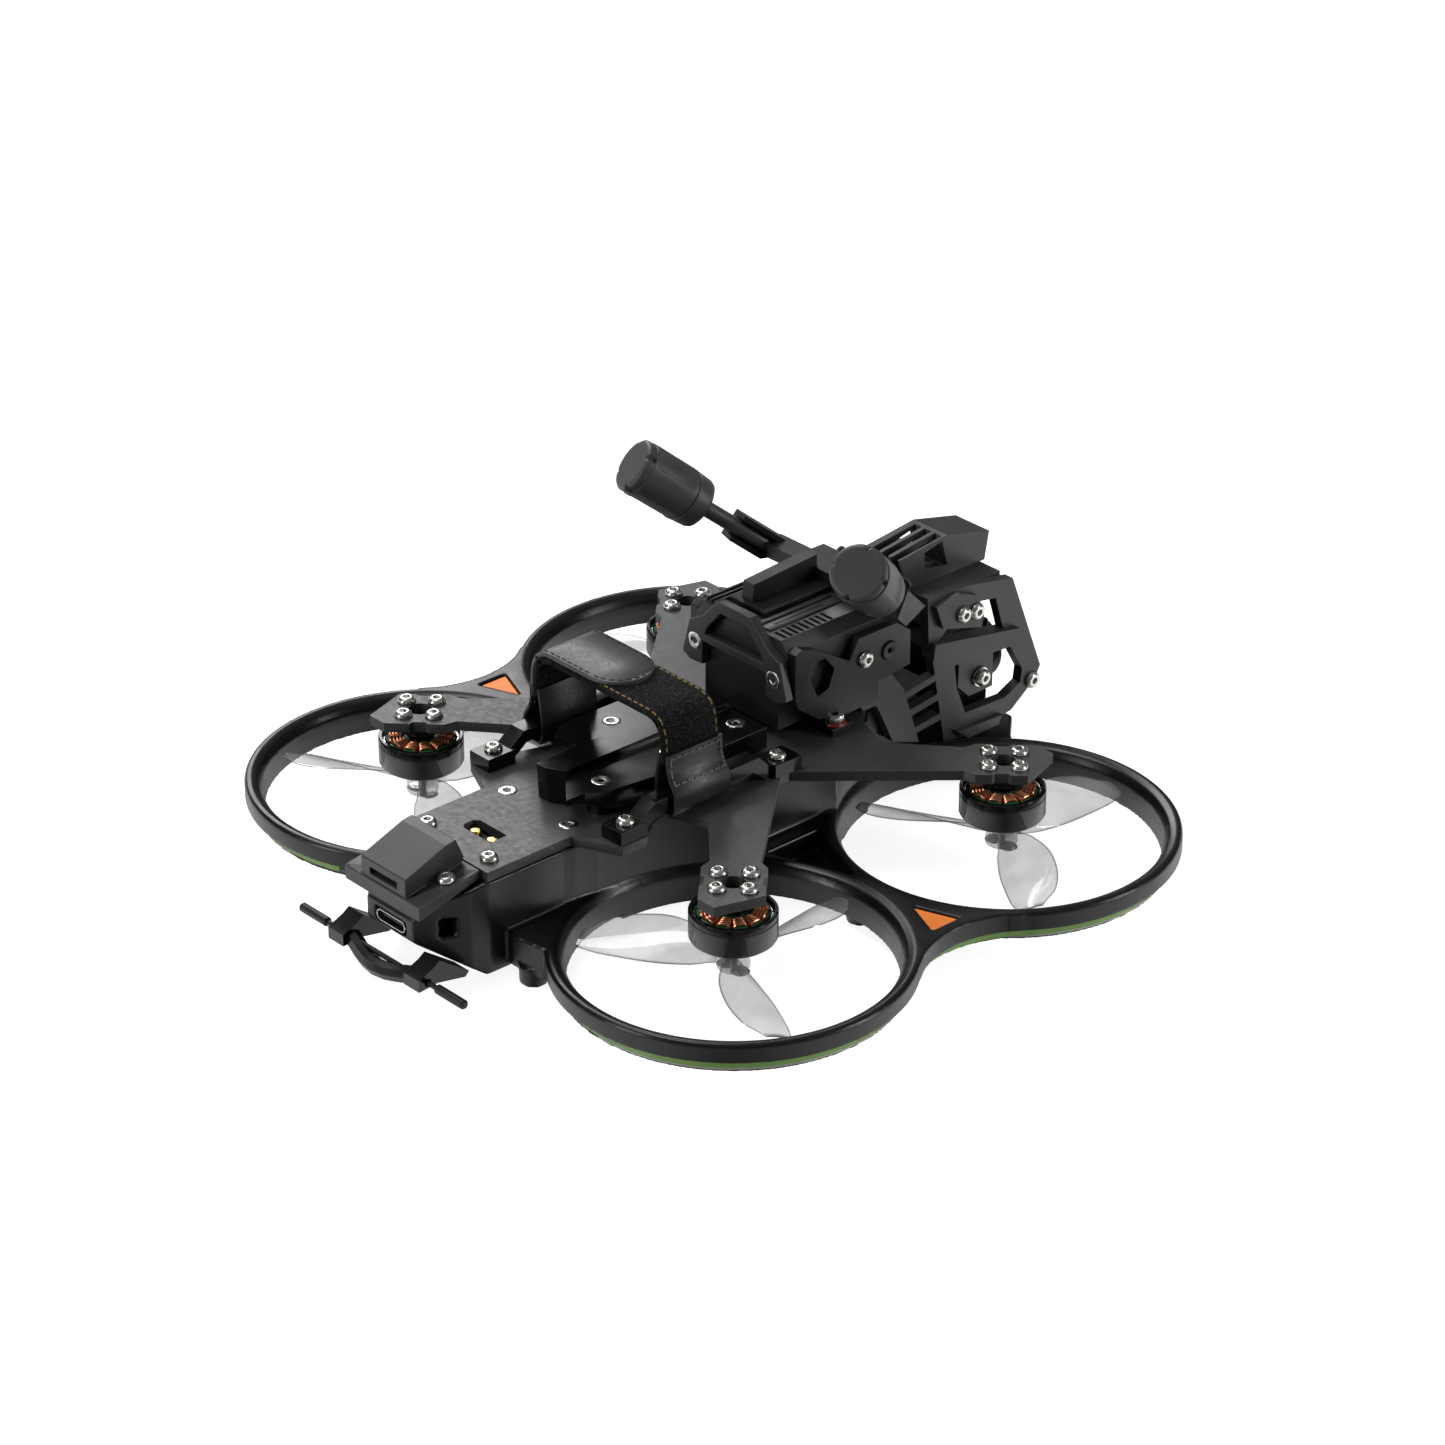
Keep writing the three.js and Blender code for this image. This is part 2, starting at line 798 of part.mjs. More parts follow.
function receiverAntenna() {
  const wire = crossBar(0.6, -SLEEVE_START, SLEEVE_START, ANTENNA_Y, ANTENNA_Z, 10);
  const sleeve = crossBar(1.25, SLEEVE_START - 0.2, ANTENNA_HALF, ANTENNA_Y, ANTENNA_Z, 14);
  return bothSides(solid(sleeve)).add(solid(wire));
}

// Two blocks on arms under the tail, joined by a bowed bar.
function antennaHolder() {
  const arm = solid(
    sideSlab(
      [
        [-84.4, 9.9],
        [-77, 4.6],
        [-78, 3.6],
        [-85, 5],
        [-89.8, 4.6],
        [-89.8, 7.2],
        [-86, 8.8],
      ],
      9.6,
      14.4,
    ),
  );
  const bow = new THREE.CatmullRomCurve3([
    new THREE.Vector3(-12, -86.5, 6),
    new THREE.Vector3(0, -89, 4),
    new THREE.Vector3(12, -86.5, 6),
  ]);
  const ring = new THREE.Shape().absarc(0, 0, 1.9, 0, 2 * Math.PI);
  const options = { steps: 8, extrudePath: bow, curveSegments: 4 };
  const bar = solid(new THREE.ExtrudeGeometry(ring, options));
  const bore = solid(crossBar(0.9, -20, 20, ANTENNA_Y, ANTENNA_Z, 10));
  return cut(bothSides(arm).add(bar), bore);
}

add("receiver_antenna", geometryOf(receiverAntenna()), finish(0x232426, 0.6));
add("antenna_holder", geometryOf(antennaHolder()), finish(0x1d1e20, 0.4));

// ---------------------------------------------------------------- electronics inside the pod

const PIN_X = 2.6;
const CONNECTOR_Y = -60.8;
const pinBore = (x) => solid(upright(1.2, 18, 30, 12).translate(x, CONNECTOR_Y, 0));
const connectorBlock = cut(
  solid(box(-4.3, 4.3, CONNECTOR_Y - 1.9, CONNECTOR_Y + 1.9, 15, PLATE_BOTTOM - 0.1)),
  pinBore(PIN_X),
  pinBore(-PIN_X),
);
add("battery_connector", geometryOf(connectorBlock), finish(0x141416, 0.6));
for (const [pole, side] of [
  ["positive", 1],
  ["negative", -1],
]) {
  const pin = upright(1.2, 18, 23.6, 12).translate(side * PIN_X, CONNECTOR_Y, 0);
  add(`connector_pin_${pole}`, pin, finish(0xd9b45a, 0.3, 1));
}

// A square circuit board with its four fixing holes and a few chips.
function circuitBoard(bottom, chips) {
  const board = box(-13.2, 13.2, -13.2, 13.2, bottom, bottom + 1.6);
  const hole = upright(1.7, bottom - 1, bottom + 4, 12);
  const holes = [-1, 1].map((side) =>
    solid(hole.clone().translate(BOARD_HOLE, side * BOARD_HOLE, 0)),
  );
  const parts = chips.map(([x, y, half, height]) =>
    solid(box(x - half, x + half, y - half, y + half, bottom + 1, bottom + 1.6 + height)),
  );
  return cut(joined(solid(board), ...parts), bothSides(joined(...holes)));
}

const FC_BOTTOM = 12;
const escBoard = circuitBoard(ESC_BOTTOM, [
  [-6, 0, 2.5, 1],
  [6, 0, 2.5, 1],
  [0, -9, 2, 1],
]);
const plug = solid(box(-5, 5, 7.5, 10, ESC_BOTTOM + 1.6, FC_BOTTOM + 0.5));
const fcBoard = circuitBoard(FC_BOTTOM, [
  [0, 0, 3.5, 1],
  [7, -5, 1.8, 1],
  [-7, 5, 1.5, 1],
]).add(plug);
add("speed_controller", geometryOf(escBoard), finish(0x15181c, 0.45));
add("flight_controller", geometryOf(fcBoard), finish(0x15181c, 0.45));
add("capacitor", crossBar(4, -8, 8, -54, 8, 20), finish(0x1e2a3a, 0.35));
add("receiver_board", box(-6, 6, -70, -58, 7, 8), finish(0x15181c, 0.45));

// ---------------------------------------------------------------- video unit and its frame

const UNIT_REAR_Y = 9;
const UNIT_FRONT_Y = 40;
const UNIT_HALF = 14;
const UNIT_BOTTOM = 26.5;
const UNIT_TOP = 47.6;

// Cooled video transmitter with vent slots in the rear of its lid.
function videoUnit() {
  const body = solid(
    crossSlab(
      symmetric([
        [CAGE_INNER - 0.4, UNIT_BOTTOM],
        [CAGE_INNER - 0.4, 33.5],
        [UNIT_HALF, 33.5],
        [UNIT_HALF, UNIT_TOP - 2.6],
        [UNIT_HALF - 2, UNIT_TOP],
      ]),
      UNIT_REAR_Y,
      UNIT_FRONT_Y,
    ),
  );
  const slots = [];
  for (let i = 0; i < 9; i++) {
    const y = UNIT_REAR_Y + 1.4 + 1.6 * i;
    slots.push(solid(box(8.2, 11.7, y, y + 0.8, UNIT_TOP - 1.4, UNIT_TOP + 1)));
  }
  return cut(body, ...slots);
}

add("video_unit", geometryOf(videoUnit()), finish(0x3a3b3e, 0.45, 0.4));

// Arch that screws to the rear face of the video unit.
function archBracket() {
  const outside = solid(
    crossSlab(
      symmetric([
        [9.7, 40],
        [9.7, 34.6],
        [13.8, 34.4],
        [16, 35.5],
        [13.8, 43.8],
        [10.5, 45.5],
        [5, 51],
      ]).reverse(),
      UNIT_REAR_Y - 2.2,
      UNIT_REAR_Y,
    ),
  );
  const opening = solid(
    crossSlab(
      symmetric([
        [8.9, 41.9],
        [8.4, 43.4],
        [4.2, 48.4],
      ]),
      0,
      20,
    ),
  );
  return cut(outside, opening);
}

add("arch_bracket", geometryOf(archBracket()), finish(BLACK_MOULDING, 0.5));

// Outer bracket with a six-sided window, and the arm that carries the video unit.
function wing() {
  const blade = solid(
    sideSlab(
      [
        [9.2, 35.5],
        [10, 33],
        [16, 28.5],
        [24, 27],
        [33, 27.4],
        [33, 31.5],
        [42, 32.5],
        [42, 40.5],
        [38, 43.5],
        [27, 43.5],
        [24.5, 39.2],
        [15, 45],
        [11, 46.4],
        [9.2, 45.6],
      ],
      UNIT_HALF,
      UNIT_HALF + 2.2,
    ),
  );
  const window = solid(
    sideSlab(
      [
        [12.9, 40],
        [15.5, 33.9],
        [18.6, 34.9],
        [20.2, 39],
        [17.5, 42.3],
        [14, 42.1],
      ],
      10,
      20,
    ),
  );
  const grommet = solid(crossBar(2.2, 10, 20, 35.7, 37.9, 16));
  const foot = solid(box(UNIT_HALF - 2, UNIT_HALF + 4.4, 17.8, 23.4, PLATE_TOP, 26.2));
  const stem = solid(box(UNIT_HALF, UNIT_HALF + 2.2, 17.8, 23.4, 25, 30));
  return cut(joined(blade, foot, stem), window, grommet);
}

addPair("wing", geometryOf(wing()), finish(BLACK_MOULDING, 0.5));

// ---------------------------------------------------------------- camera cage

const RIB_DEPTH = 1.5; // ribs and bosses stand out this far

// Windowed plate with the tilt and hood bosses, and three bars back to its rear fairing.
function sidePlate() {
  const plate = solid(
    sideSlab(
      [
        [49, 44.4],
        [49.6, 33.6],
        [50.8, 30],
        [54.8, 8.4],
        [60.8, 7.7],
        [75, 8.9],
        [82, 14],
        [83.6, 17],
        [74.3, 41],
        [61.7, 43.5],
      ],
      CAGE_INNER,
      CAGE_OUTER,
    ),
  );
  const upperWindow = solid(
    sideSlab(
      [
        [52.6, 31.6],
        [72, 29.2],
        [69.3, 37.9],
        [60, 39.5],
        [54.6, 35.1],
        [52.4, 33.4],
      ],
      0,
      30,
    ),
  );
  const lowerWindow = solid(
    sideSlab(
      [
        [57.5, 25.8],
        [58.3, 20],
        [61, 13.2],
        [73, 12.7],
        [77.6, 14.8],
        [78, 18],
        [74.2, 24.6],
      ],
      0,
      30,
    ),
  );
  const tiltBoss = solid(
    sideSlab(
      [
        [58.8, 27],
        [58.6, 20.2],
        [62, 16.9],
        [69, 17],
        [69, 26],
      ],
      CAGE_INNER - 1.2,
      CAGE_OUTER,
    ),
  );
  const rib = solid(
    sideSlab(
      [
        [49.7, 30.2],
        [75.2, 26.4],
        [75.4, 29.2],
        [50.2, 33.8],
      ],
      CAGE_INNER,
      CAGE_OUTER + RIB_DEPTH,
    ),
  );
  const hoodBoss = solid(
    sideSlab(
      [
        [50.2, 42.6],
        [52.4, 36.8],
        [63.8, 33.4],
        [64.4, 36],
        [62.6, 41.4],
        [57, 43.5],
      ],
      CAGE_INNER,
      CAGE_OUTER + RIB_DEPTH,
    ),
  );
  const fairing = solid(
    sideSlab(
      [
        [26.5, 31.1],
        [30.7, PLATE_TOP],
        [34.5, PLATE_TOP],
        [35.8, 22],
        [39.6, 13.9],
        [47.3, 11.1],
        [42.5, 25.5],
        [38.3, 31],
      ],
      CAGE_INNER,
      CAGE_OUTER,
    ),
  );
  const bars = [
    [43, 24.3, 52.6, 25.8],
    [44.4, 19.7, 53.8, 20.9],
    [45.8, 15, 55, 15.9],
  ].map(([y0, z0, y1, z1]) =>
    solid(
      sideSlab(
        [
          [y0 - 0.4, z0 - 1.6],
          [y1, z1 - 1.6],
          [y1, z1],
          [y0 - 0.4, z0],
        ],
        CAGE_INNER,
        CAGE_OUTER,
      ),
    ),
  );
  const bracket = solid(
    sideSlab(
      [
        [57.6, 10.4],
        [60.8, 7.8],
        [69.9, 7.8],
        [71, 9.8],
      ],
      CAGE_INNER,
      CAGE_OUTER + RIB_DEPTH,
    ),
  );
  const windowed = cut(plate, upperWindow, lowerWindow);
  const tiltBore = solid(crossBar(1.4, 5, 20, TILT_Y, TILT_Z, 16));
  return cut(joined(windowed, tiltBoss, rib, hoodBoss, fairing, bracket, ...bars), tiltBore);
}

addPair("side_plate", geometryOf(sidePlate()), finish(BLACK_MOULDING, 0.5));

// Peaked hood over the camera, with an open window each side and fins behind.
function cameraHood() {
  const flange = solid(box(0.2 - CAGE_INNER, CAGE_INNER - 0.2, 52, 73, 39.6, 42.2));
  const top = solid(
    sideSlab(
      [
        [49.1, 50],
        [52, 42],
        [74.6, 42],
        [75.8, 48.5],
        [63.1, 51.6],
      ],
      -5.1,
      5.1,
    ),
  );
  const window = solid(
    sideSlab(
      [
        [56.5, 49.4],
        [56.9, 45.4],
        [63.4, 44.4],
        [61.7, 50.6],
      ],
      -20,
      20,
    ),
  );
  const gaps = [-3.4, -0.4, 2.6].map((x) => solid(box(x, x + 2, 40, 62, 44, 60)));
  const below = solid(box(-8, 8, 54, 75, 30, 41));
  return cut(flange.add(top), window, ...gaps, below);
}

add("camera_hood", geometryOf(cameraHood()), finish(0x2b2c2f, 0.5));

// Camera that tilts between the side plates.
const camera = new THREE.Group();
camera.position.set(0, TILT_Y, TILT_Z);
drone.add(camera);

const CAMERA_HALF = 9.6;
function cameraBody() {
  const shell = solid(
    sideSlab(
      [
        [-9.5, -6],
        [-6.5, -9.2],
        [7, -9.8],
        [7, 9.8],
        [-6.5, 9.8],
        [-9.5, 7],
      ],
      -CAMERA_HALF,
      CAMERA_HALF,
    ),
  );
  const lensSeat = upright(6.2, 5, 8, 24).rotateX(-Math.PI / 2);
  const seatHole = solid(lensSeat.translate(0, 0, -2.2));
  return cut(shell, seatHole);
}

add("camera_body", geometryOf(cameraBody()), finish(0x1b1c1e, 0.4), camera);

const lens = turned(
  [
    [0, 5.2],
    [5.8, 5.2],
    [5.8, 9],
    [7.4, 9.8],
    [7.4, 13],
    [6.4, 13.8],
    [4.6, 12.6],
    [2.4, 13],
    [0, 13.2],
  ],
  24,
).rotateX(-Math.PI / 2);
add("camera_lens", lens.translate(0, 0, -2.2), finish(0x0c0d10, 0.12), camera);

// Screw that passes through a side plate into the camera.
function tiltScrew() {
  const head = solid(crossBar(2.2, CAGE_OUTER + GAP, CAGE_OUTER + GAP + 1.8, 0, 0, 16));
  const thread = solid(crossBar(1, CAMERA_HALF, CAGE_OUTER + 1, 0, 0, 12));
  return head.add(thread);
}

addPair("tilt_screw", geometryOf(tiltScrew()), finish(STEEL, 0.25, 1), camera);

// ---------------------------------------------------------------- video antennas

const AERIAL_FACE = new THREE.Vector3(34.2, 9.1, 71.5);
const AERIAL_AXIS = new THREE.Vector3(0.375, -0.7, 0.606).normalize();
const CAP_LENGTH = 18.6;
const CAP_RADIUS = 6.1;
const STEM_RADIUS = 1.45;
const STEM_END = 41;
const SLEEVE_RADIUS = 1.9;
const SLEEVE_FRONT = 28;
const SLEEVE_REAR = 38;

// Aerials are modelled along Z with the cap's face at the origin, then turned.
const alongAerial = (shape) => {
  const turn = new THREE.Quaternion().setFromUnitVectors(new THREE.Vector3(0, 0, 1), AERIAL_AXIS);
  const place = new THREE.Matrix4().compose(AERIAL_FACE, turn, new THREE.Vector3(1, 1, 1));
  return geometryOf(shape).applyMatrix4(place);
};

const aerial = solid(
  turned(
    [
      [0, -STEM_END],
      [STEM_RADIUS, -STEM_END],
      [STEM_RADIUS, -SLEEVE_REAR - 0.4],
      [SLEEVE_RADIUS, -SLEEVE_REAR],
      [SLEEVE_RADIUS, -SLEEVE_FRONT],
      [STEM_RADIUS, -SLEEVE_FRONT + 0.4],
      [STEM_RADIUS, -CAP_LENGTH - 2],
      [2.4, -CAP_LENGTH - 2],
      [3, -CAP_LENGTH],
      [5, -CAP_LENGTH],
      [CAP_RADIUS, -CAP_LENGTH + 1.4],
      [CAP_RADIUS, -0.8],
      [CAP_RADIUS - 0.8, 0],
      [0, 0],
    ],
    20,
  ),
);
addPair("video_antenna", alongAerial(aerial), finish(0x3c3d40, 0.5));

// Turns each clip's open side inwards and back.
const CLIP_TURN = THREE.MathUtils.degToRad(19.5);

// Twin clips that hold the aerial stems, at the ends of two arms, on a foot screwed to the
// video unit's lid. A tongue with a raised rib reaches back over the left half of the lid.
function antennaMount() {
  const sleeveBore = upright(SLEEVE_RADIUS + 0.1, -60, 0, 16);
  const clip = cut(
    solid(box(-2.6, 2.9, -3.1, 3.1, -43, -27.5).rotateZ(CLIP_TURN)),
    solid(sleeveBore.clone()),
    solid(box(-6, 0, -SLEEVE_RADIUS - 0.1, SLEEVE_RADIUS + 0.1, -45, -26).rotateZ(CLIP_TURN)),
  );
  const clips = bothSides(solid(alongAerial(clip)));
  const foot = solid(box(-9.5, 9.5, 32, 41, UNIT_TOP, 51.5));
  const arms = solid(box(-20, 20, 33, 38.5, UNIT_TOP, 50.8));
  const tongue = solid(box(-8.5, 2.2, 13.4, 33, UNIT_TOP, UNIT_TOP + 1.2));
  const rib = solid(
    sideSlab(
      [
        [14.6, UNIT_TOP],
        [33, UNIT_TOP],
        [33, 54],
        [15.2, 52.8],
      ],
      -6.2,
      -3,
    ),
  );
  const below = solid(box(-60, 60, -60, 60, 0, UNIT_TOP));
  const bore = bothSides(solid(alongAerial(solid(sleeveBore))));
  return cut(joined(clips, foot, arms, tongue, rib), below, bore);
}

add("antenna_mount", geometryOf(antennaMount()), finish(BLACK_MOULDING, 0.5));

export default drone;
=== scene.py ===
"""Looks of the ducted camera drone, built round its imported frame."""

import json
import math

import bmesh
import bpy
import numpy as np
from mathutils import Matrix, Vector

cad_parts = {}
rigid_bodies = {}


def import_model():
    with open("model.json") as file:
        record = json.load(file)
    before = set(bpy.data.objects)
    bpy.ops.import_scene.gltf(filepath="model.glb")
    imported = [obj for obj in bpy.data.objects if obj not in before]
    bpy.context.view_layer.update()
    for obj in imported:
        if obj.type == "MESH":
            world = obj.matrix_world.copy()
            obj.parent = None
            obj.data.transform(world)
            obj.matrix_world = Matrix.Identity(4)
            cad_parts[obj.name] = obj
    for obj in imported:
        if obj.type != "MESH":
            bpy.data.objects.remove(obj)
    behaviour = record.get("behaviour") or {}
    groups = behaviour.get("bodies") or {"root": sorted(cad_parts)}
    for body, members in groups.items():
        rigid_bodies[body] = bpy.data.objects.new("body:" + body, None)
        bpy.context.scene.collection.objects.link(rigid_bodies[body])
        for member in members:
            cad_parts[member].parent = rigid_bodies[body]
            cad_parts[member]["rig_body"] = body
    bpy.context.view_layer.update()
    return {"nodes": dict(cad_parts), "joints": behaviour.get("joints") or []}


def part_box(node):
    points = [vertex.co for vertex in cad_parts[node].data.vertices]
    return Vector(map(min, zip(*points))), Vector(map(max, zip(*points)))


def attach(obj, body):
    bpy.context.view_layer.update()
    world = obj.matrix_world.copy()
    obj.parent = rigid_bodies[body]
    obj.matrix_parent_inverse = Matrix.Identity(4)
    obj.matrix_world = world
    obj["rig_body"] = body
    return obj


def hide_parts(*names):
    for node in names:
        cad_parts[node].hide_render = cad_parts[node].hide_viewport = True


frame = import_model()

NODES = frame["nodes"]
MM = 0.001
TAU = 2 * math.pi
UP = Vector((0, 0, 1))
SIDES = {"right": 1, "left": -1}

# Where each motor stands in plan, from the joints that turn without limit.
ROTORS = {
    joint["child"].removeprefix("rotor_"): Vector((*joint["pos_m"][:2], 0))
    for joint in frame["joints"]
    if joint.get("continuous")
}


def low(node):
    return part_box(node)[0]


def high(node):
    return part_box(node)[1]


def point(x, y, z):
    """A point given in millimetres."""
    return Vector((x, y, z)) * MM


# ---- node materials


class Look:
    """A Principled material with short calls for the nodes that shape it."""

    def __init__(self, name, color, roughness, metallic=0.0):
        self.material = bpy.data.materials.new(name)
        self.material.use_nodes = True
        self.tree = self.material.node_tree
        self.shader = self.tree.nodes["Principled BSDF"]
        self.color = self.rgb(color)
        self.normal = None
        self.set("Base Color", self.color)
        self.set("Roughness", roughness)
        self.set("Metallic", metallic)
        self.place = self.tree.nodes.new("ShaderNodeTexCoord").outputs["Object"]

    def set(self, name, value):
        """Links a socket to a shader input, or sets the input to a plain value."""
        self.feed(self.shader.inputs[name], value)

    def feed(self, target, value):
        if isinstance(value, bpy.types.NodeSocket):
            self.tree.links.new(value, target)
        else:
            target.default_value = value

    def node(self, kind, inputs=None, **settings):
        node = self.tree.nodes.new(kind)
        for key, value in settings.items():
            setattr(node, key, value)
        for key, value in (inputs or {}).items():
            self.feed(node.inputs[key], value)
        return node

    def rgb(self, color):
        node = self.tree.nodes.new("ShaderNodeRGB")
        node.outputs[0].default_value = (*color, 1)
        return node.outputs[0]

    def noise(self, size_mm, detail, stretch=(1, 1, 1)):
        """Soft random field from 0 to 1, with features about size_mm across."""
        scaled = self.node("ShaderNodeMapping", {"Vector": self.place, "Scale": stretch})
        inputs = {"Vector": scaled.outputs[0], "Scale": 1 / (size_mm * MM), "Detail": detail}
        return self.node("ShaderNodeTexNoise", inputs).outputs[0]

    def cells(self, size_mm):
        """Distance to the nearest of many scattered points, for pebbled grain."""
        inputs = {"Vector": self.place, "Scale": 1 / (size_mm * MM)}
        return self.node("ShaderNodeTexVoronoi", inputs).outputs["Distance"]

    def remap(self, value, start, end, low_in=0.35, high_in=0.65):
        """Carries low_in to start and high_in to end, and holds the value there beyond them."""
        limits = {"From Min": low_in, "From Max": high_in, "To Min": start, "To Max": end}
        return self.node("ShaderNodeMapRange", {"Value": value} | limits).outputs[0]

    def math(self, operation, a, b=0.0):
        return self.node("ShaderNodeMath", {0: a, 1: b}, operation=operation).outputs[0]

    def ripple(self, value, pitch):
        """Sine wave that repeats at the pitch."""
        return self.math("SINE", self.math("MULTIPLY", value, TAU / pitch))

    def paint(self, factor, color):
        """Lays a colour over what is there, by factor."""
        mix = self.node("ShaderNodeMix", data_type="RGBA")
        self.feed(mix.inputs[0], factor)
        self.feed(mix.inputs[6], self.color)
        self.feed(mix.inputs[7], self.rgb(color))
        self.color = mix.outputs[2]
        self.set("Base Color", self.color)

    def axis(self, index):
        return self.node("ShaderNodeSeparateXYZ", {0: self.place}).outputs[index]

    def facing(self, index):
        """1 where the surface is square to that axis, 0 where it lies along it."""
        normal = self.node("ShaderNodeNewGeometry").outputs["Normal"]
        parts = self.node("ShaderNodeSeparateXYZ", {0: normal})
        return self.math("ABSOLUTE", parts.outputs[index])

    def glancing(self, blend):
        """0 seen square on, 1 seen edge on."""
        return self.node("ShaderNodeLayerWeight", {"Blend": blend}).outputs["Facing"]

    def attribute(self, name):
        return self.node("ShaderNodeAttribute", attribute_name=name).outputs["Fac"]

    def mottle(self, size_mm, detail, strength, color, low_in=0.35, high_in=0.65):
        """Lays patches of a colour over what is there."""
        patches = self.remap(self.noise(size_mm, detail), 0, strength, low_in, high_in)
        self.paint(patches, color)

    def wander(self, size_mm, detail, smoothest, roughest):
        """Roughness that varies from place to place."""
        self.set("Roughness", self.remap(self.noise(size_mm, detail), smoothest, roughest))

    def bump(self, height, depth_mm):
        inputs = {"Height": height, "Distance": depth_mm * MM}
        if self.normal:
            inputs["Normal"] = self.normal
        self.normal = self.node("ShaderNodeBump", inputs).outputs[0]
        self.set("Normal", self.normal)


def shade(color, factor):
    return tuple(part * factor for part in color)


def moulded(name, color, roughness, grain_mm, grain_depth):
    """Injection-moulded plastic: fine spark grain and faint flow marks."""
    look = Look(name, color, roughness)
    look.mottle(11, 3, 0.5, shade(color, 0.7))
    look.mottle(0.5, 2, 0.2, shade(color, 1.6), 0.5, 0.8)
    look.wander(6, 3, roughness - 0.03, roughness + 0.04)
    look.set("Specular IOR Level", 0.36)
    look.bump(look.noise(grain_mm, 3), grain_depth)
    return look.material


def carbon_plate():
    """Matte carbon sheet: a faint twill on its faces, and layers along its cut edges."""
    look = Look("carbon_plate", (0.045, 0.046, 0.048), 0.42)
    tow = 1.6 * MM
    ply = 0.37 * MM
    x, y, z = (look.axis(i) for i in range(3))
    warp = look.ripple(look.math("ADD", x, y), tow)
    weft = look.ripple(look.math("SUBTRACT", x, y), tow)
    twill = look.math("MULTIPLY", warp, weft)
    look.paint(look.remap(twill, 0, 0.3, -0.3, 0.3), (0.03, 0.031, 0.033))
    look.mottle(14, 3, 0.4, (0.06, 0.061, 0.063))
    layers = look.ripple(z, ply)
    side = look.remap(look.facing(2), 1, 0, 0.2, 0.6)
    stripes = look.math("MULTIPLY", side, look.remap(layers, 0, 0.85, -0.6, 0.9))
    look.paint(stripes, (0.009, 0.009, 0.01))
    look.wander(1.2, 3, 0.36, 0.48)
    look.set("Specular IOR Level", 0.4)
    look.bump(twill, 0.006)
    look.bump(look.math("MULTIPLY", layers, side), 0.03)
    return look.material


def metal(name, color, roughness, dull, metallic=1.0):
    """Polished or plated metal with a little grime, and fine marks from turning."""
    look = Look(name, color, roughness, metallic)
    look.mottle(2.5, 3, 0.5, dull)
    look.wander(1.2, 3, roughness - 0.03, roughness + 0.06)
    look.bump(look.noise(0.3, 2, (0.3, 0.3, 3)), 0.0004)
    return look.material


def copper_wire():
    """Enamelled wire: warm metal, darker in patches."""
    look = Look("copper_wire", (0.8, 0.33, 0.17), 0.3, 0.85)
    look.mottle(0.6, 2, 0.55, (0.45, 0.15, 0.07))
    look.wander(0.3, 2, 0.22, 0.4)
    look.bump(look.noise(0.25, 2), 0.01)
    return look.material


def clear_blade():
    """Clear polycarbonate: grey haze on the faces, and painted shade where it is seen edge on, at
    the blade edges and over the hub.
    """
    look = Look("clear_blade", (0.42, 0.425, 0.435), 0.06)
    # Painted shade: the rim mark and the edge-on mask darken the plastic and make it more opaque.
    # They stand in for light that clear plastic bends away at its edges.
    rim = look.attribute("rim")
    edge_on_shade = look.remap(look.glancing(0.5), 0, 1, 0.55, 0.98)
    dark = look.math("MAXIMUM", rim, edge_on_shade)
    look.paint(dark, (0.09, 0.092, 0.098))
    haze = look.remap(look.noise(9, 2), 0.28, 0.36)
    look.set("Alpha", look.math("MAXIMUM", haze, look.remap(dark, 0, 0.78, 0, 1)))
    look.wander(3, 2, 0.03, 0.1)
    look.set("Specular IOR Level", 1.0)
    look.set("Coat Weight", 0.6)
    look.set("Coat Roughness", 0.03)
    look.bump(look.noise(5, 2), 0.05)
    return look.material


def smooth_leather(name, tone):
    """Strap leather: fine pebble grain and a soft sheen."""
    look = Look(name, (tone, tone, tone * 1.04), 0.42)
    look.mottle(7, 3, 0.5, (tone * 0.7, tone * 0.7, tone * 0.73))
    pebbles = look.cells(0.5)
    look.paint(look.remap(pebbles, 0.35, 0, 0.02, 0.3), shade((tone, tone, tone), 0.5))
    look.wander(0.8, 3, 0.36, 0.5)
    look.bump(pebbles, 0.02)
    return look.material


def brushed_felt():
    """The strap's loop side: a tangle of short dark fibres that catch the light."""
    look = Look("strap_felt", (0.0025, 0.0025, 0.003), 0.95)
    tufts = look.noise(0.55, 5)
    look.paint(look.remap(tufts, 0, 1, 0.52, 0.64), (0.018, 0.018, 0.021))
    look.mottle(0.35, 2, 0.9, (0.085, 0.085, 0.095), 0.6, 0.72)
    look.set("Specular IOR Level", 0.15)
    look.set("Sheen Weight", 0.02)
    look.bump(tufts, 0.3)
    look.bump(look.noise(0.14, 2), 0.1)
    return look.material


def sewing_thread(name, color):
    """Twisted sewing thread."""
    look = Look(name, color, 0.7)
    twist = look.noise(0.15, 2)
    look.paint(look.remap(twist, 0, 0.6), shade(color, 0.4))
    look.bump(twist, 0.03)
    return look.material


def light_tube():
    """Milky green light strip, paler in patches."""
    look = Look("light_tube", (0.12, 0.24, 0.055), 0.35)
    look.mottle(5, 1, 0.7, (0.2, 0.34, 0.1))
    look.set("Emission Color", (0.14, 0.27, 0.06, 1))
    look.set("Emission Strength", 0.3)
    look.wander(1.5, 2, 0.28, 0.45)
    look.bump(look.noise(0.8, 2), 0.01)
    return look.material


def circuit():
    """Dark solder mask with tracks and bare pads."""
    look = Look("circuit_board", (0.006, 0.012, 0.01), 0.35)
    inputs = {"Vector": look.place, "Scale": 1 / (1.4 * MM), "Mortar Size": 0.04}
    tracks = look.node("ShaderNodeTexBrick", inputs).outputs["Fac"]
    look.paint(look.math("MULTIPLY", tracks, 0.6), (0.03, 0.06, 0.035))
    look.mottle(0.7, 1, 1, (0.6, 0.5, 0.25), 0.68, 0.7)
    look.wander(1.1, 2, 0.25, 0.5)
    look.bump(tracks, 0.02)
    return look.material


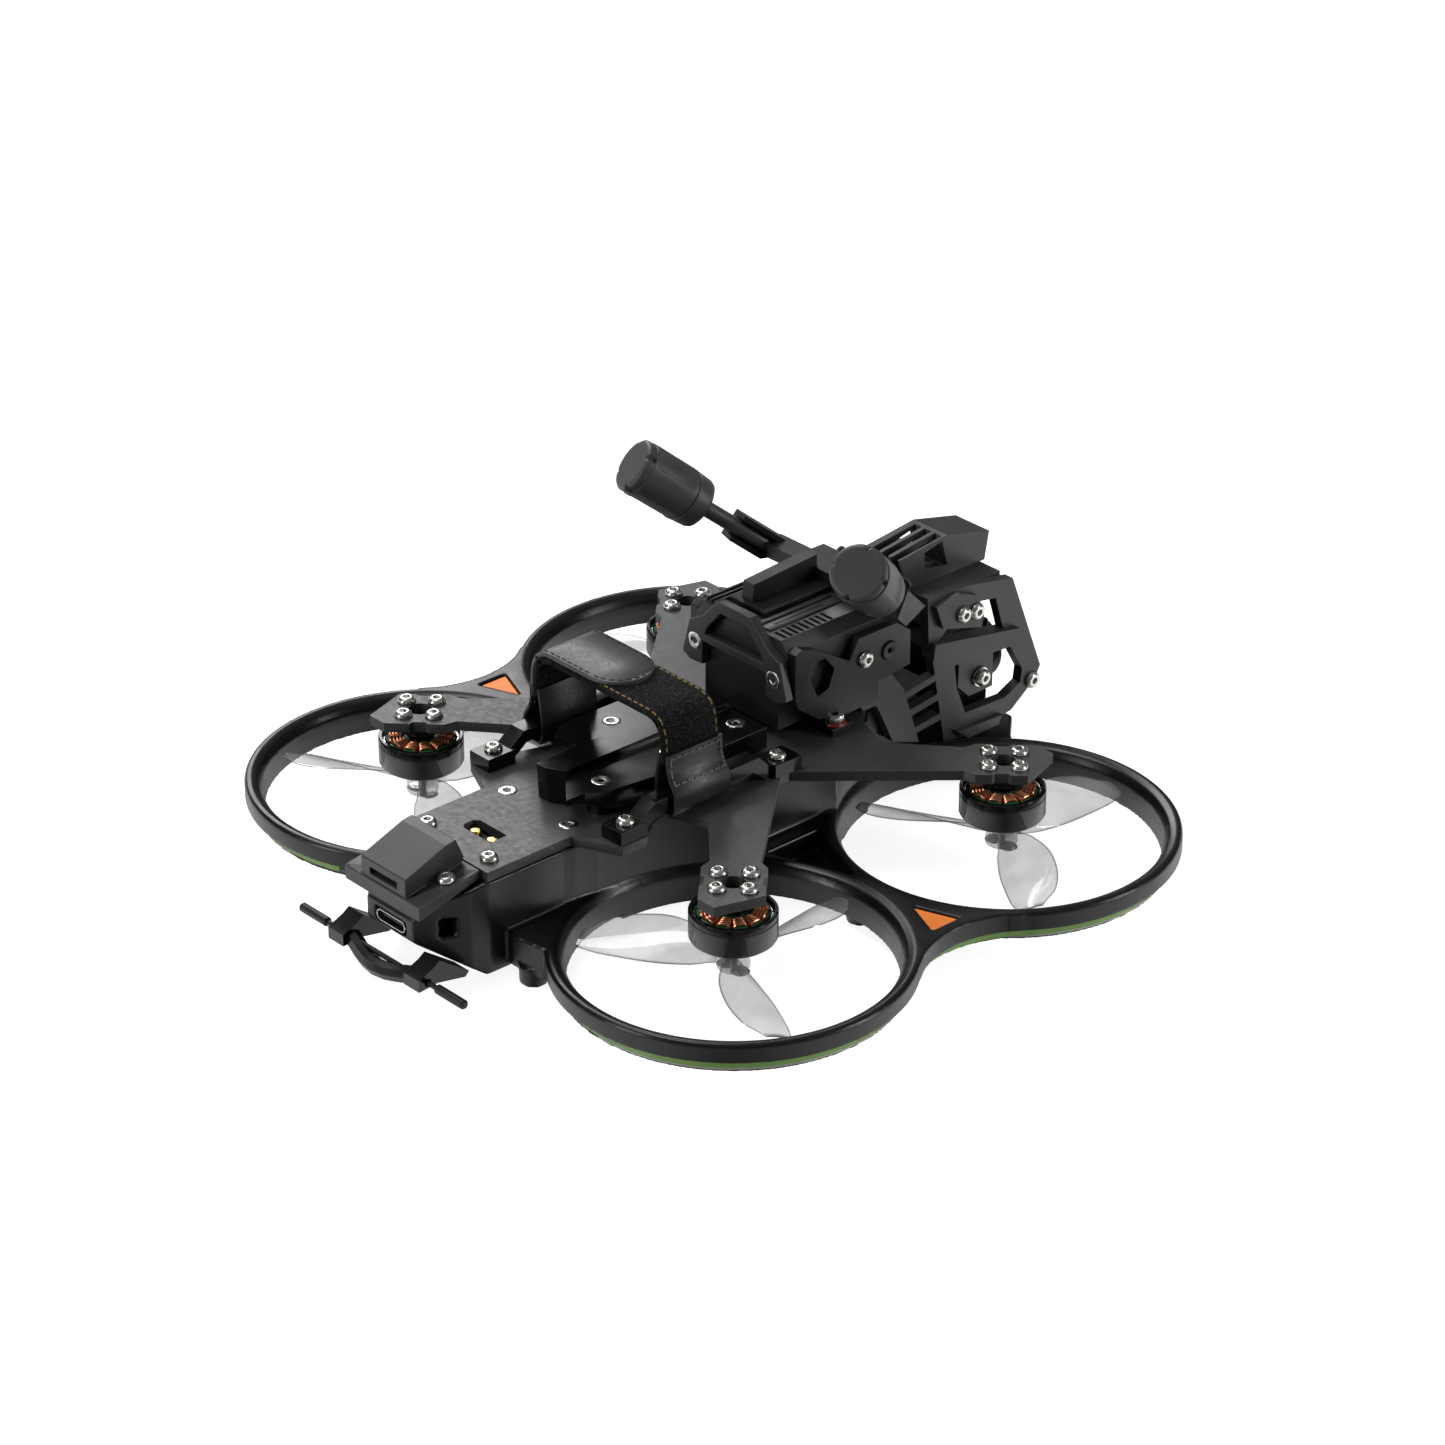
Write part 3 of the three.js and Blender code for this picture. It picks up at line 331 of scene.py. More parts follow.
def coated_glass():
    """Dark lens glass with a violet coating that turns green at the rim."""
    look = Look("coated_glass", (0.02, 0.006, 0.035), 0.03)
    look.paint(look.glancing(0.4), (0.004, 0.03, 0.02))
    look.set("Coat Weight", 1.0)
    look.wander(4, 1, 0.02, 0.06)
    return look.material


SATIN = moulded("satin_moulding", (0.0045, 0.0045, 0.005), 0.3, 0.3, 0.003)
CAGE = moulded("cage_moulding", (0.036, 0.0365, 0.0375), 0.4, 0.3, 0.005)
SMOOTH = moulded("smooth_moulding", (0.0035, 0.0035, 0.004), 0.2, 0.5, 0.004)
RUBBER = moulded("soft_rubber", (0.003, 0.003, 0.0035), 0.5, 0.2, 0.008)
ORANGE = moulded("orange_insert", (1.0, 0.26, 0.04), 0.5, 0.2, 0.006)
RED = moulded("red_washer", (0.24, 0.012, 0.01), 0.3, 0.2, 0.004)
PALE = moulded("pale_diffuser", (0.7, 0.74, 0.66), 0.45, 0.3, 0.004)
UNIT = moulded("unit_paint", (0.023, 0.0235, 0.0245), 0.36, 0.15, 0.008)
AERIAL = moulded("aerial_paint", (0.05, 0.05, 0.051), 0.45, 0.16, 0.006)
SLEEVE = moulded("capacitor_film", (0.012, 0.02, 0.05), 0.3, 0.6, 0.004)
GREEN = moulded("core_coating", (0.012, 0.1, 0.04), 0.35, 0.4, 0.01)
CARBON = carbon_plate()
STEEL = metal("polished_steel", (0.6, 0.585, 0.56), 0.24, (0.46, 0.445, 0.42))
BLACK_ALLOY = metal("black_anodised", (0.003, 0.003, 0.0035), 0.12, (0.0015, 0.0015, 0.0015), 0.0)
MAGNET = metal("plated_magnet", (0.55, 0.55, 0.56), 0.22, (0.35, 0.35, 0.36))
GOLD = metal("gold_plate", (0.85, 0.6, 0.2), 0.22, (0.6, 0.38, 0.1))
COPPER = copper_wire()
BLADE_PLASTIC = clear_blade()
LEATHER = smooth_leather("strap_leather", 0.055)
# The loops' leather is the facing's leather made far darker. This is partly the loops' own darker
# leather and partly painted shade for loops that face away from the lamps.
DARK_AND_SHADED_LEATHER = smooth_leather("dark_and_shaded_loop_leather", 0.007)
FELT = brushed_felt()
DARK_THREAD = sewing_thread("dark_thread", (0.002, 0.002, 0.002))
GREY_THREAD = sewing_thread("grey_thread", (0.2, 0.2, 0.2))
GOLD_THREAD = sewing_thread("gold_thread", (0.3, 0.19, 0.035))
LIGHT = light_tube()
CIRCUIT = circuit()
GLASS = coated_glass()

# ---- mesh helpers


def new_piece(name, mesh, body, stands_for):
    """A visible piece on a body, which takes the place of the CAD nodes it stands for."""
    obj = bpy.data.objects.new(name, mesh)
    bpy.context.scene.collection.objects.link(obj)
    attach(obj, body)
    if stands_for:
        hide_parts(*stands_for)
    return obj


def build(name, bm, materials, stands_for=(), body="airframe", sharp=38):
    """Turns finished mesh data into a piece; edges over sharp degrees stay crisp."""
    bmesh.ops.recalc_face_normals(bm, faces=bm.faces)
    mesh = bpy.data.meshes.new(name)
    bm.to_mesh(mesh)
    bm.free()
    mesh.shade_smooth()
    mesh.set_sharp_from_angle(angle=math.radians(sharp))
    for material in materials:
        mesh.materials.append(material)
    return new_piece(name, mesh, body, stands_for)


def aim(position, axis=UP, turn=0.0):
    """Matrix that carries local Z to the axis, at the position."""
    direction = UP.rotation_difference(axis).to_matrix().to_4x4()
    return Matrix.Translation(position) @ direction @ Matrix.Rotation(turn, 4, "Z")


def bridge(bm, first, second, material=0):
    """Faces between two rings of points; a ring of one point closes to a fan."""
    count = max(len(first), len(second))
    for i in range(count):
        j = (i + 1) % count
        corners = [
            first[i % len(first)],
            first[j % len(first)],
            second[j % len(second)],
            second[i % len(second)],
        ]
        corners = list(dict.fromkeys(corners))
        if len(corners) > 2:
            bm.faces.new(corners).material_index = material


def cap(bm, ring, material=0):
    bm.faces.new(ring).material_index = material


def skin(bm, rings, looped=False, material=0):
    """Faces along a row of rings, and from the last to the first if looped."""
    following = rings[1:] + rings[:1] if looped else rings[1:]
    for first, second in zip(rings, following):
        bridge(bm, first, second, material)


def closed_skin(bm, rings, material=0):
    """A skin along a row of rings whose ends are closed."""
    skin(bm, rings, material=material)
    cap(bm, rings[0], material)
    cap(bm, rings[-1], material)


def round_z(reach, angle, height):
    """A point in millimetres at a distance and angle from Z."""
    return point(reach * math.cos(angle), reach * math.sin(angle), height)


def circle(bm, place, radius, height, sides):
    """Points round local Z, in millimetres; the radius may depend on the angle."""
    spots = []
    for i in range(sides):
        angle = TAU * i / sides
        reach = radius(angle) if callable(radius) else radius
        spots.append(bm.verts.new(place @ round_z(reach, angle, height)))
    return spots


def lathe(bm, profile, sides, place, looped=False, material=0):
    """Turns (radius, height) points in millimetres round local Z; returns the last ring."""
    rings = []
    for radius, height in profile:
        if radius == 0:
            rings.append([bm.verts.new(place @ Vector((0, 0, height * MM)))])
        else:
            rings.append(circle(bm, place, radius, height, sides))
    skin(bm, rings, looped, material)
    return rings[-1]


def tube(bm, points, radius_mm, sides, looped=False):
    """A round bar through the points, closed at both ends or joined into a ring."""
    rings = []
    count = len(points)
    for i, spot in enumerate(points):
        after = points[(i + 1) % count] if looped else points[min(i + 1, count - 1)]
        before = points[i - 1] if looped else points[max(i - 1, 0)]
        rings.append(circle(bm, aim(spot, (after - before).normalized()), radius_mm, 0, sides))
    if looped:
        skin(bm, rings, looped)
    else:
        closed_skin(bm, rings)


def block(bm, start, end, bevel_mm, material=0, place=None):
    """A box between two corners given in millimetres, with rounded edges."""
    known = set(bm.faces)
    made = bmesh.ops.create_cube(bm, size=1)["verts"]
    start, end = point(*start), point(*end)
    size, centre = end - start, (start + end) / 2
    for vert in made:
        vert.co = centre + Vector([v * s for v, s in zip(vert.co, size)])
        if place:
            vert.co = place @ vert.co
    edges = list({edge for vert in made for edge in vert.link_edges})
    bmesh.ops.bevel(
        bm, geom=edges, offset=bevel_mm * MM, segments=2, profile=0.5, affect="EDGES"
    )
    for face in set(bm.faces) - known:
        face.material_index = material


# The CAD's triangles are welded and joined into flats before their edges are rounded.
WELD_DISTANCE = 0.002
FLAT_ANGLE = 0.3
SHARP_ANGLE = 33


def finish_cad(node, material, width_mm):
    """The CAD piece with its sharp edges rounded off, standing for the CAD node."""
    bm = bmesh.new()
    bm.from_mesh(NODES[node].data)
    bmesh.ops.remove_doubles(bm, verts=bm.verts, dist=WELD_DISTANCE * MM)
    bmesh.ops.dissolve_limit(
        bm, angle_limit=math.radians(FLAT_ANGLE), verts=bm.verts, edges=bm.edges
    )
    body = NODES[node]["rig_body"]
    obj = build(f"{node}_shell", bm, [material], [node], body, SHARP_ANGLE)
    bevel = obj.modifiers.new("rounded_edges", "BEVEL")
    bevel.width = width_mm * MM
    bevel.segments = 2
    bevel.limit_method = "ANGLE"
    bevel.angle_limit = math.radians(SHARP_ANGLE - 1)
    bevel.harden_normals = True


# ---- moulded and cut pieces

# The CAD's duct walls: their sides, and their inner and outer reach in millimetres.
RING_SIDES = 40
RING_INNER = 32.9
RING_OUTER = 37.7


def round_rings(mesh):
    """Moves the flats of the CAD's many-sided duct walls out to true circles."""
    spots = np.empty(3 * len(mesh.vertices))
    mesh.vertices.foreach_get("co", spots)
    spots = spots.reshape(-1, 3)
    half_side = math.pi / RING_SIDES
    for centre in ROTORS.values():
        middle = np.array(centre[:2])
        offset = spots[:, :2] - middle
        reach = np.hypot(offset[:, 0], offset[:, 1]) / MM
        off_middle = np.arctan2(offset[:, 1], offset[:, 0]) % (2 * half_side) - half_side
        stretch = np.cos(off_middle) / math.cos(half_side)
        ring = (reach > RING_INNER) & (reach < RING_OUTER)
        spots[ring, :2] = middle + offset[ring] * stretch[ring, None]
    mesh.vertices.foreach_set("co", spots.ravel())
    mesh.update()


def applied(obj):
    """The mesh that an object's modifiers make; the modifiers are taken off."""
    graph = bpy.context.evaluated_depsgraph_get()
    mesh = bpy.data.meshes.new_from_object(obj.evaluated_get(graph))
    obj.modifiers.clear()
    return mesh


def duct_frame():
    """The moulding remeshed evenly and relaxed, so that its corners flow into fillets."""
    mesh = NODES["duct_frame"].data.copy()
    mesh.materials.clear()
    mesh.materials.append(SATIN)
    obj = new_piece("duct_frame_shell", mesh, "airframe", ["duct_frame"])
    remesh = obj.modifiers.new("even_surface", "REMESH")
    remesh.mode = "VOXEL"
    remesh.voxel_size = 0.36 * MM * 1
    remesh.use_smooth_shade = True
    relax = obj.modifiers.new("fillets", "SMOOTH")
    relax.factor = 0.5
    relax.iterations = 5
    obj.data = applied(obj)
    round_rings(obj.data)
    thin = obj.modifiers.new("fewer_faces", "DECIMATE")
    thin.ratio = 0.25


def cad_pieces():
    """The pieces whose CAD shape is right: it gets rounded edges and a material."""
    finish_cad("main_plate", CARBON, 0.1)
    finish_cad("tail_cap", CAGE, 0.25)
    finish_cad("battery_tray", SMOOTH, 0.3)
    finish_cad("arch_bracket", CAGE, 0.3)
    finish_cad("camera_hood", CAGE, 0.22)
    finish_cad("camera_body", SMOOTH, 0.4)
    finish_cad("antenna_mount", RUBBER, 0.2)
    finish_cad("antenna_holder", SMOOTH, 0.25)
    for side in SIDES:
        finish_cad(f"strap_rail_{side}", SMOOTH, 0.45)
        finish_cad(f"wing_{side}", SATIN, 0.3)
        finish_cad(f"side_plate_{side}", CAGE, 0.22)
        finish_cad(f"junction_insert_{side}", ORANGE, 0.15)
        finish_cad(f"light_strip_{side}", LIGHT, 0.15)
    for node in ("usb_board", "receiver_board", "flight_controller", "speed_controller"):
        finish_cad(node, CIRCUIT, 0.08)
    finish_cad("battery_connector", RUBBER, 0.15)
    finish_cad("capacitor", SLEEVE, 0.4)


def receiver_aerial():
    """Bare wire across the tail, with a thicker sleeve at each end."""
    start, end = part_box("receiver_antenna")
    centre = (start + end) / 2
    half = (end.x - start.x) / 2 / MM
    wire_end = half - 2
    wire = [(0, -wire_end), (0.55, -wire_end), (0.55, wire_end), (0, wire_end)]
    root, tip = half - 9.6, half - 0.8
    sleeve = [(0, root), (0.7, root), (1, root + 0.35), (1, tip - 0.5), (0.7, tip - 0.1), (0, tip)]
    bm = bmesh.new()
    lathe(bm, wire, 16, aim(centre, Vector((1, 0, 0))))
    for flip in SIDES.values():
        lathe(bm, sleeve, 24, aim(centre, Vector((flip, 0, 0))))
    build("receiver_aerial", bm, [RUBBER], ["receiver_antenna"])


def stadium(bm, half_width, half_height, y, centre):
    """Points round a slot with full-round ends, facing the tail."""
    spots = []
    for i in range(40):
        angle = TAU * (i + 0.5) / 40
        side = math.copysign(half_width - half_height, math.cos(angle))
        x = side + half_height * math.cos(angle)
        z = half_height * math.sin(angle)
        spots.append(bm.verts.new(centre + point(x, y, z)))
    return spots


def usb_socket():
    """Pressed steel shell with round ends, and a black tongue inside."""
    node_low, node_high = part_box("usb_socket")
    centre = Vector((0, node_low.y, (node_low.z + node_high.z) / 2))
    size = (node_high - node_low) / MM
    insets = ((0, size.y), (0, 0.12), (0.1, 0), (0.22, 0), (0.3, 0.1), (0.3, size.y - 1))
    bm = bmesh.new()
    closed_skin(
        bm, [stadium(bm, size.x / 2 - inset, size.z / 2 - inset, y, centre) for inset, y in insets]
    )
    half_wide, half_high = 3.3, 0.32
    start, end = (-half_wide, 0.7, -half_high), (half_wide, size.y - 0.9, half_high)
    block(bm, start, end, 0.1, 1, aim(centre))
    build("usb_socket_shell", bm, [STEEL, RUBBER], ["usb_socket"])


def battery_pins():
    """Gold pins with rounded tops."""
    for pole in ("positive", "negative"):
        node = f"connector_pin_{pole}"
        top = (low(node) + high(node)) / 2
        top.z = high(node).z
        bm = bmesh.new()
        lathe(bm, [(0, -5), (1.2, -5), (1.2, -0.5), (0.95, -0.1), (0.2, 0), (0, 0)], 28, aim(top))
        build(f"battery_pin_{pole}", bm, [GOLD], [node])


def diffuser_lines():
    """Pale line along the lower edge of each light strip."""
    first, last, steps = math.radians(-58), math.radians(90), 40
    angles = [first + (last - first) * step / steps for step in range(steps + 1)]
    for side, flip in SIDES.items():
        bm = bmesh.new()
        bottom = low(f"light_strip_{side}").z / MM - 0.05
        for corner, centre in ROTORS.items():
            if corner.endswith(side):
                outwards = Vector((flip, math.copysign(1, centre.y), 1))
                arc = [centre + outwards * round_z(35.15, angle, bottom) for angle in angles]
                tube(bm, arc, 0.22, 6)
        build(f"diffuser_line_{side}", bm, [PALE])


duct_frame()
cad_pieces()
usb_socket()
receiver_aerial()
battery_pins()
diffuser_lines()

# ---- screws

# Head outlines as (radius, height) in millimetres, from below the seat to the socket's rim.
BUTTON = [(0, -0.4), (1.5, -0.4), (1.5, 0), (1.9, 0.05), (1.95, 0.35), (1.75, 0.85)]
BUTTON += [(1.3, 1.2), (1, 1.28)]
CAP_HEAD = [(0, -0.4), (1.6, -0.4), (1.85, 0), (1.9, 0.1), (1.9, 1.6), (1.75, 1.8)]
CAP_HEAD += [(1.2, 1.82), (1, 1.8)]
FLUSH = [(0, -0.5), (1.5, -0.5), (1.95, -0.05), (1.95, 0.08), (1.8, 0.16), (1.2, 0.16)]
FLUSH += [(0.95, 0.12)]
SOCKET_RADIUS = 0.82
SOCKET_DEPTH = 0.75
HEAD_SIDES = 30
MOTOR_SCREW_REACH = 4.5

# How far the ribs of the side plates and the rims of the wings stand out, in millimetres.
PLATE_RIB = 1.5
WING_RIM = 2.2
# The screw in each wing's foot, and the washer under its head.
FOOT_TOP = (16.2, 20.5, 26.2)
FOOT_WASHER = 0.4


def hex_radius(angle):
    """Distance from the middle to the side of a hexagon, at an angle."""
    sector = TAU / 6
    return SOCKET_RADIUS * math.cos(sector / 2) / math.cos(angle % sector - sector / 2)


def screw(bm, position, axis=UP, outline=BUTTON, turn=0.4):
    """A screw head with a six-sided socket, seated at the position."""
    place = aim(position, axis, turn)
    rim = lathe(bm, outline, HEAD_SIDES, place)
    top = outline[-1][1]
    for height in (top - 0.08, top - SOCKET_DEPTH):
        ring = circle(bm, place, hex_radius, height, HEAD_SIDES)
        bridge(bm, rim, ring)
        rim = ring
    cap(bm, rim)


def motor_screws():
    """Four button heads over each motor, square to its arm."""
    deck = high("main_plate").z / MM
    for corner, centre in ROTORS.items():
        bm = bmesh.new()
        for quarter in range(4):
            spot = centre + round_z(MOTOR_SCREW_REACH, TAU * quarter / 4, deck)
            screw(bm, spot, turn=0.5 + 1.3 * quarter)
        build(f"motor_screws_{corner}", bm, [STEEL])


def deck_screws():
    """Flush and button heads that hold the carbon plate to the pod."""
    deck = high("main_plate").z
    tail = low("main_plate").y
    bm = bmesh.new()
    for flip in SIDES.values():
        screw(bm, Vector((flip * 9.5 * MM, tail + 24.7 * MM, deck)), outline=FLUSH)
        screw(bm, Vector((flip * 9.6 * MM, tail + 3.8 * MM, deck)), turn=0.8)
    build("deck_screws", bm, [STEEL])


def tray_screws():
    """Flush heads along both halves of the battery tray, one more on the right."""
    corner = high("battery_tray")
    bm = bmesh.new()
    for x, back in ((8.9, 3.7), (-8.9, 3.7), (8.9, 22), (-8.9, 22), (8.9, 40.3)):
        screw(bm, Vector((0, corner.y, corner.z)) + point(x, -back, -1.5), outline=FLUSH)
    build("tray_screws", bm, [STEEL])


def rail_screws():
    """A button head on each foot of the strap bars."""
    turn_per_metre = 900
    for side in SIDES:
        rail_low, rail_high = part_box(f"strap_rail_{side}")
        x = (rail_low.x + rail_high.x) / 2
        top = rail_high.z - 2.8 * MM
        bm = bmesh.new()
        for y in (rail_low.y + 3.8 * MM, rail_high.y - 4.2 * MM):
            screw(bm, Vector((x, y, top)), turn=y * turn_per_metre)
        build(f"rail_screws_{side}", bm, [STEEL])


def cage_screws():
    """Screws through the camera cage, the wings and the arch, seen from the sides."""
    ribs = high("side_plate_right").x / MM
    plate = ribs - PLATE_RIB
    wing = high("wing_right").x / MM - WING_RIM
    arch = low("arch_bracket").y / MM
    seats = ((ribs, 58, 38.4), (ribs, 61.9, 37.9), (plate, 80.9, 14.4), (wing, 28.8, 38.2))
    foot_x, foot_y, foot_z = FOOT_TOP
    for side, flip in SIDES.items():
        bm = bmesh.new()
        for x, y, z in seats:
            screw(bm, point(flip * x, y, z), Vector((flip, 0, 0)), turn=y)
        screw(bm, point(flip * foot_x, foot_y, foot_z + FOOT_WASHER), outline=CAP_HEAD)
        screw(bm, point(flip * 12, arch, 39.4), Vector((0, -1, 0)), FLUSH)
        build(f"cage_screws_{side}", bm, [STEEL])


def tail_screws():
    """Button heads beside the tail cap's raised housing."""
    slope = Vector((0, -0.18, 0.98)).normalized()
    bm = bmesh.new()
    for flip in SIDES.values():
        screw(bm, point(flip * 8.9, -77.8, 23.35), slope, turn=0.9)
    build("tail_screws", bm, [STEEL])


def tilt_screws():
    """The screws that clamp the camera, each with a washer and a short thread."""
    seat_x = high("side_plate_right").x - PLATE_RIB * MM
    for side, flip in SIDES.items():
        node = f"tilt_screw_{side}"
        seat = (low(node) + high(node)) / 2
        seat.x = flip * seat_x
        outward = Vector((flip, 0, 0))
        bm = bmesh.new()
        screw(bm, seat + outward * 0.9 * MM, outward)
        place = aim(seat, outward)
        washer = [(1, 0.25), (2.2, 0.25), (2.3, 0.45), (2.2, 0.7), (1, 0.7)]
        lathe(bm, washer, HEAD_SIDES, place, looped=True)
        lathe(bm, [(0, -4.3), (0.8, -4.3), (1, -4), (1, 0.7), (0, 0.7)], 20, place)
        build(f"{node}_head", bm, [STEEL], [node], "camera")


def grommets_and_washers():
    """Rubber grommet in each wing, and the red washer under each foot screw."""
    wing = high("wing_right").x / MM - WING_RIM
    grommet = [(0.55, -1.9), (2.1, -1.9), (2.1, 0.1), (1.9, 0.5), (1.2, 0.6), (0.6, 0.3)]
    washer = [(1.1, 0), (2.3, 0), (2.4, 0.2), (2.3, FOOT_WASHER), (1.1, FOOT_WASHER)]
    foot_x, foot_y, foot_z = FOOT_TOP
    for side, flip in SIDES.items():
        place = aim(point(flip * wing, 35.7, 37.9), Vector((flip, 0, 0)))
        bm = bmesh.new()
        lathe(bm, grommet, 32, place, looped=True)
        build(f"grommet_{side}", bm, [RUBBER])
        bm = bmesh.new()
        lathe(bm, washer, 32, aim(point(flip * foot_x, foot_y, foot_z)), looped=True)
        build(f"foot_washer_{side}", bm, [RED])


motor_screws()
deck_screws()
tray_screws()
rail_screws()
cage_screws()
tail_screws()
tilt_screws()
grommets_and_washers()

# ---- motors and propellers

TEETH = 12
COIL_TURNS = 4
MAGNETS = 14
BELL_WALL = 1.15
# The iron core's height above the ground.
CORE_BOTTOM = 13.9
CORE_TOP = 18.1


def bell(corner, centre):
    """Black bell, open at the top, with plated magnets round its inside."""
    node = f"bell_{corner}"
    bottom, rim = low(node).z / MM, high(node).z / MM - 2
    outside = (high(node).x - low(node).x) / 2 / MM
    inside = outside - BELL_WALL
    wall = [(0, bottom), (outside - 1.9, bottom), (outside - 1.2, bottom + 0.25)]
    wall += [(outside - 0.3, bottom + 0.95), (outside, bottom + 1.5)]
    groove = [(outside, rim - 1.6), (outside - 0.12, rim - 1.5)]
    groove += [(outside - 0.12, rim - 1.3), (outside, rim - 1.2)]
    lip = [(outside, rim - 0.3), (outside - 0.25, rim), (outside - 0.75, rim)]
    lip += [(outside - 0.95, rim - 0.25)]
    hollow = [(inside, rim - 0.9), (inside, bottom + 1.6), (inside - 0.3, bottom + 1.4)]
    shaft = [(1, bottom + 1.4), (1, rim + 1.9), (0.85, rim + 2), (0, rim + 2)]
    bm = bmesh.new()
    place = aim(centre)
    lathe(bm, wall + groove + lip + hollow + shaft, 72, place)
    # Corners of a magnet as (reach, share of the way round to the next one).
    back, face = inside + 0.05, inside - 0.22
    corners = [(back, 0.06), (back, 0.5), (back, 0.94), (face, 0.94), (face, 0.5), (face, 0.06)]
    for i in range(MAGNETS):
        rings = []
        for height in (bottom + 1.9, rim - 1):
            ring = []
            for reach, share in corners:
                spot = round_z(reach, TAU * (i + share) / MAGNETS, height)
                ring.append(bm.verts.new(place @ spot))
            rings.append(ring)
        closed_skin(bm, rings, 1)
    body = f"rotor_{corner}"
    build(f"motor_bell_{corner}", bm, [BLACK_ALLOY, MAGNET], [node], body)


def stator(corner, centre):
    """Coated core with T-shaped teeth, on a black base under the arm."""
    node = f"stator_{corner}"
    base_top = high(node).z / MM
    bm = bmesh.new()
    place = aim(centre)
    for i in range(TEETH):
        turned = aim(centre, turn=TAU * i / TEETH)
        for inner, outer, half in ((3.2, 7.1, 0.75), (6.85, 7.38, 1.5)):
            block(bm, (inner, -half, CORE_BOTTOM), (outer, half, CORE_TOP), 0.12, 0, turned)
    yoke = [(1.6, -0.1), (3.5, -0.1), (3.7, 0.1)]
    ring = [(reach, CORE_BOTTOM + lift) for reach, lift in yoke]
    ring += [(reach, CORE_TOP - lift) for reach, lift in reversed(yoke)]
    lathe(bm, ring, 36, place, True)
    base = [(1.5, 13), (2.8, 13), (2.8, 19.6), (3.4, 20.3), (5.9, 20.9), (6.2, 21.2)]
    base += [(6.2, base_top - 0.1), (6.1, base_top), (1.5, base_top)]
    lathe(bm, base, 48, place, True, 1)
    build(f"motor_core_{corner}", bm, [GREEN, BLACK_ALLOY], [node])


def coils(corner, centre):
    """Copper wire wound round each tooth, turn beside turn."""
    bm = bmesh.new()
    wire = 0.36
    steps = 16
    squareness = 0.45
    middle = (CORE_BOTTOM + CORE_TOP) / 2
    half_height = (CORE_TOP - CORE_BOTTOM) / 2 + 0.45
    for i in range(TEETH):
        turned = aim(centre, turn=TAU * i / TEETH)
        for turn in range(COIL_TURNS):
            reach = 4.35 + 2 * wire * turn
            half_width = 0.98 + 0.07 * turn
            loop = []
            for step in range(steps):
                angle = TAU * (step + 0.5) / steps
                across, upward = (
                    math.copysign(abs(part) ** squareness, part)
                    for part in (math.cos(angle), math.sin(angle))
                )
                spot = point(reach, half_width * across, middle + half_height * upward)
                loop.append(turned @ spot)
            tube(bm, loop, wire, 8, looped=True)
    build(f"motor_coils_{corner}", bm, [COPPER], [f"windings_{corner}"])


# Blade sections from root to tip: radius, chord, lead of the mid-chord, twist in degrees.
BLADE = [
    (3.2, 4.6, 0.2, 43),
    (8, 8.6, 0.7, 34),
    (15, 11.6, 1.0, 26),
    (22, 11.6, 0.5, 20),
    (27.5, 9.6, -0.6, 16.5),
    (31.5, 5.2, -2.3, 14),
]
BLADE_THICK = 0.95
BLADE_CAMBER = 0.07
BLADE_STATIONS = 26
# How strongly the hub takes the clear plastic's painted edge shade.
HUB_SHADE = 0.55
SECTION_POINTS = 9


def blade_section(share):
    """Radius, chord, lead and twist at a share of the way from root to tip."""
    reach = BLADE[0][0] + (BLADE[-1][0] - BLADE[0][0]) * share
    last = max(i for i in range(len(BLADE) - 1) if BLADE[i][0] <= reach + 1e-9)
    before, start, end, after = (
        BLADE[min(max(last + k, 0), len(BLADE) - 1)] for k in (-1, 0, 1, 2)
    )
    t = (reach - start[0]) / (end[0] - start[0])
    values = [reach]
    for a, b, c, d in list(zip(before, start, end, after))[1:]:
        curve = 2 * b + (c - a) * t + (2 * a - 5 * b + 4 * c - d) * t**2
        values.append((curve + (3 * b - a - 3 * c + d) * t**3) / 2)
    return values


def blade(bm, place, edge_shade_layer, mirrored, mid_height):
    """One cambered, twisted blade; its rim is marked for painted shade, so that the plastic
    darkens there.
    """
    rings = []
    for station in range(BLADE_STATIONS):
        share = station / (BLADE_STATIONS - 1)
        reach, chord, lead, twist = blade_section(share)
        pitch = math.radians(twist)
        thick = BLADE_THICK * (1 - 0.55 * share)
        ring = []
        for index in range(2 * SECTION_POINTS):
            upper = index < SECTION_POINTS
            step = index if upper else 2 * SECTION_POINTS - 1 - index
            along = (1 - math.cos(math.pi * step / (SECTION_POINTS - 1))) / 2
            body = thick / 2 * (0.25 + 0.75 * math.sin(math.pi * along) ** 0.6)
            arch = BLADE_CAMBER * chord * 4 * along * (1 - along)
            u = lead + chord * (0.5 - along)
            w = arch + (body if upper else -body)
            across = u * math.cos(pitch) - w * math.sin(pitch)
            height = mid_height + u * math.sin(pitch) + w * math.cos(pitch)
            side = -across if mirrored else across
            vert = bm.verts.new(place @ point(reach, side, height))
            # Painted shade, strongest at the leading and trailing edges, the tip and the root.
            edge = max(abs(2 * along - 1) ** 14, share**30, 0.6 * (1 - share) ** 5)
            vert[edge_shade_layer] = edge
            ring.append(vert)
        rings.append(ring)
    closed_skin(bm, rings)


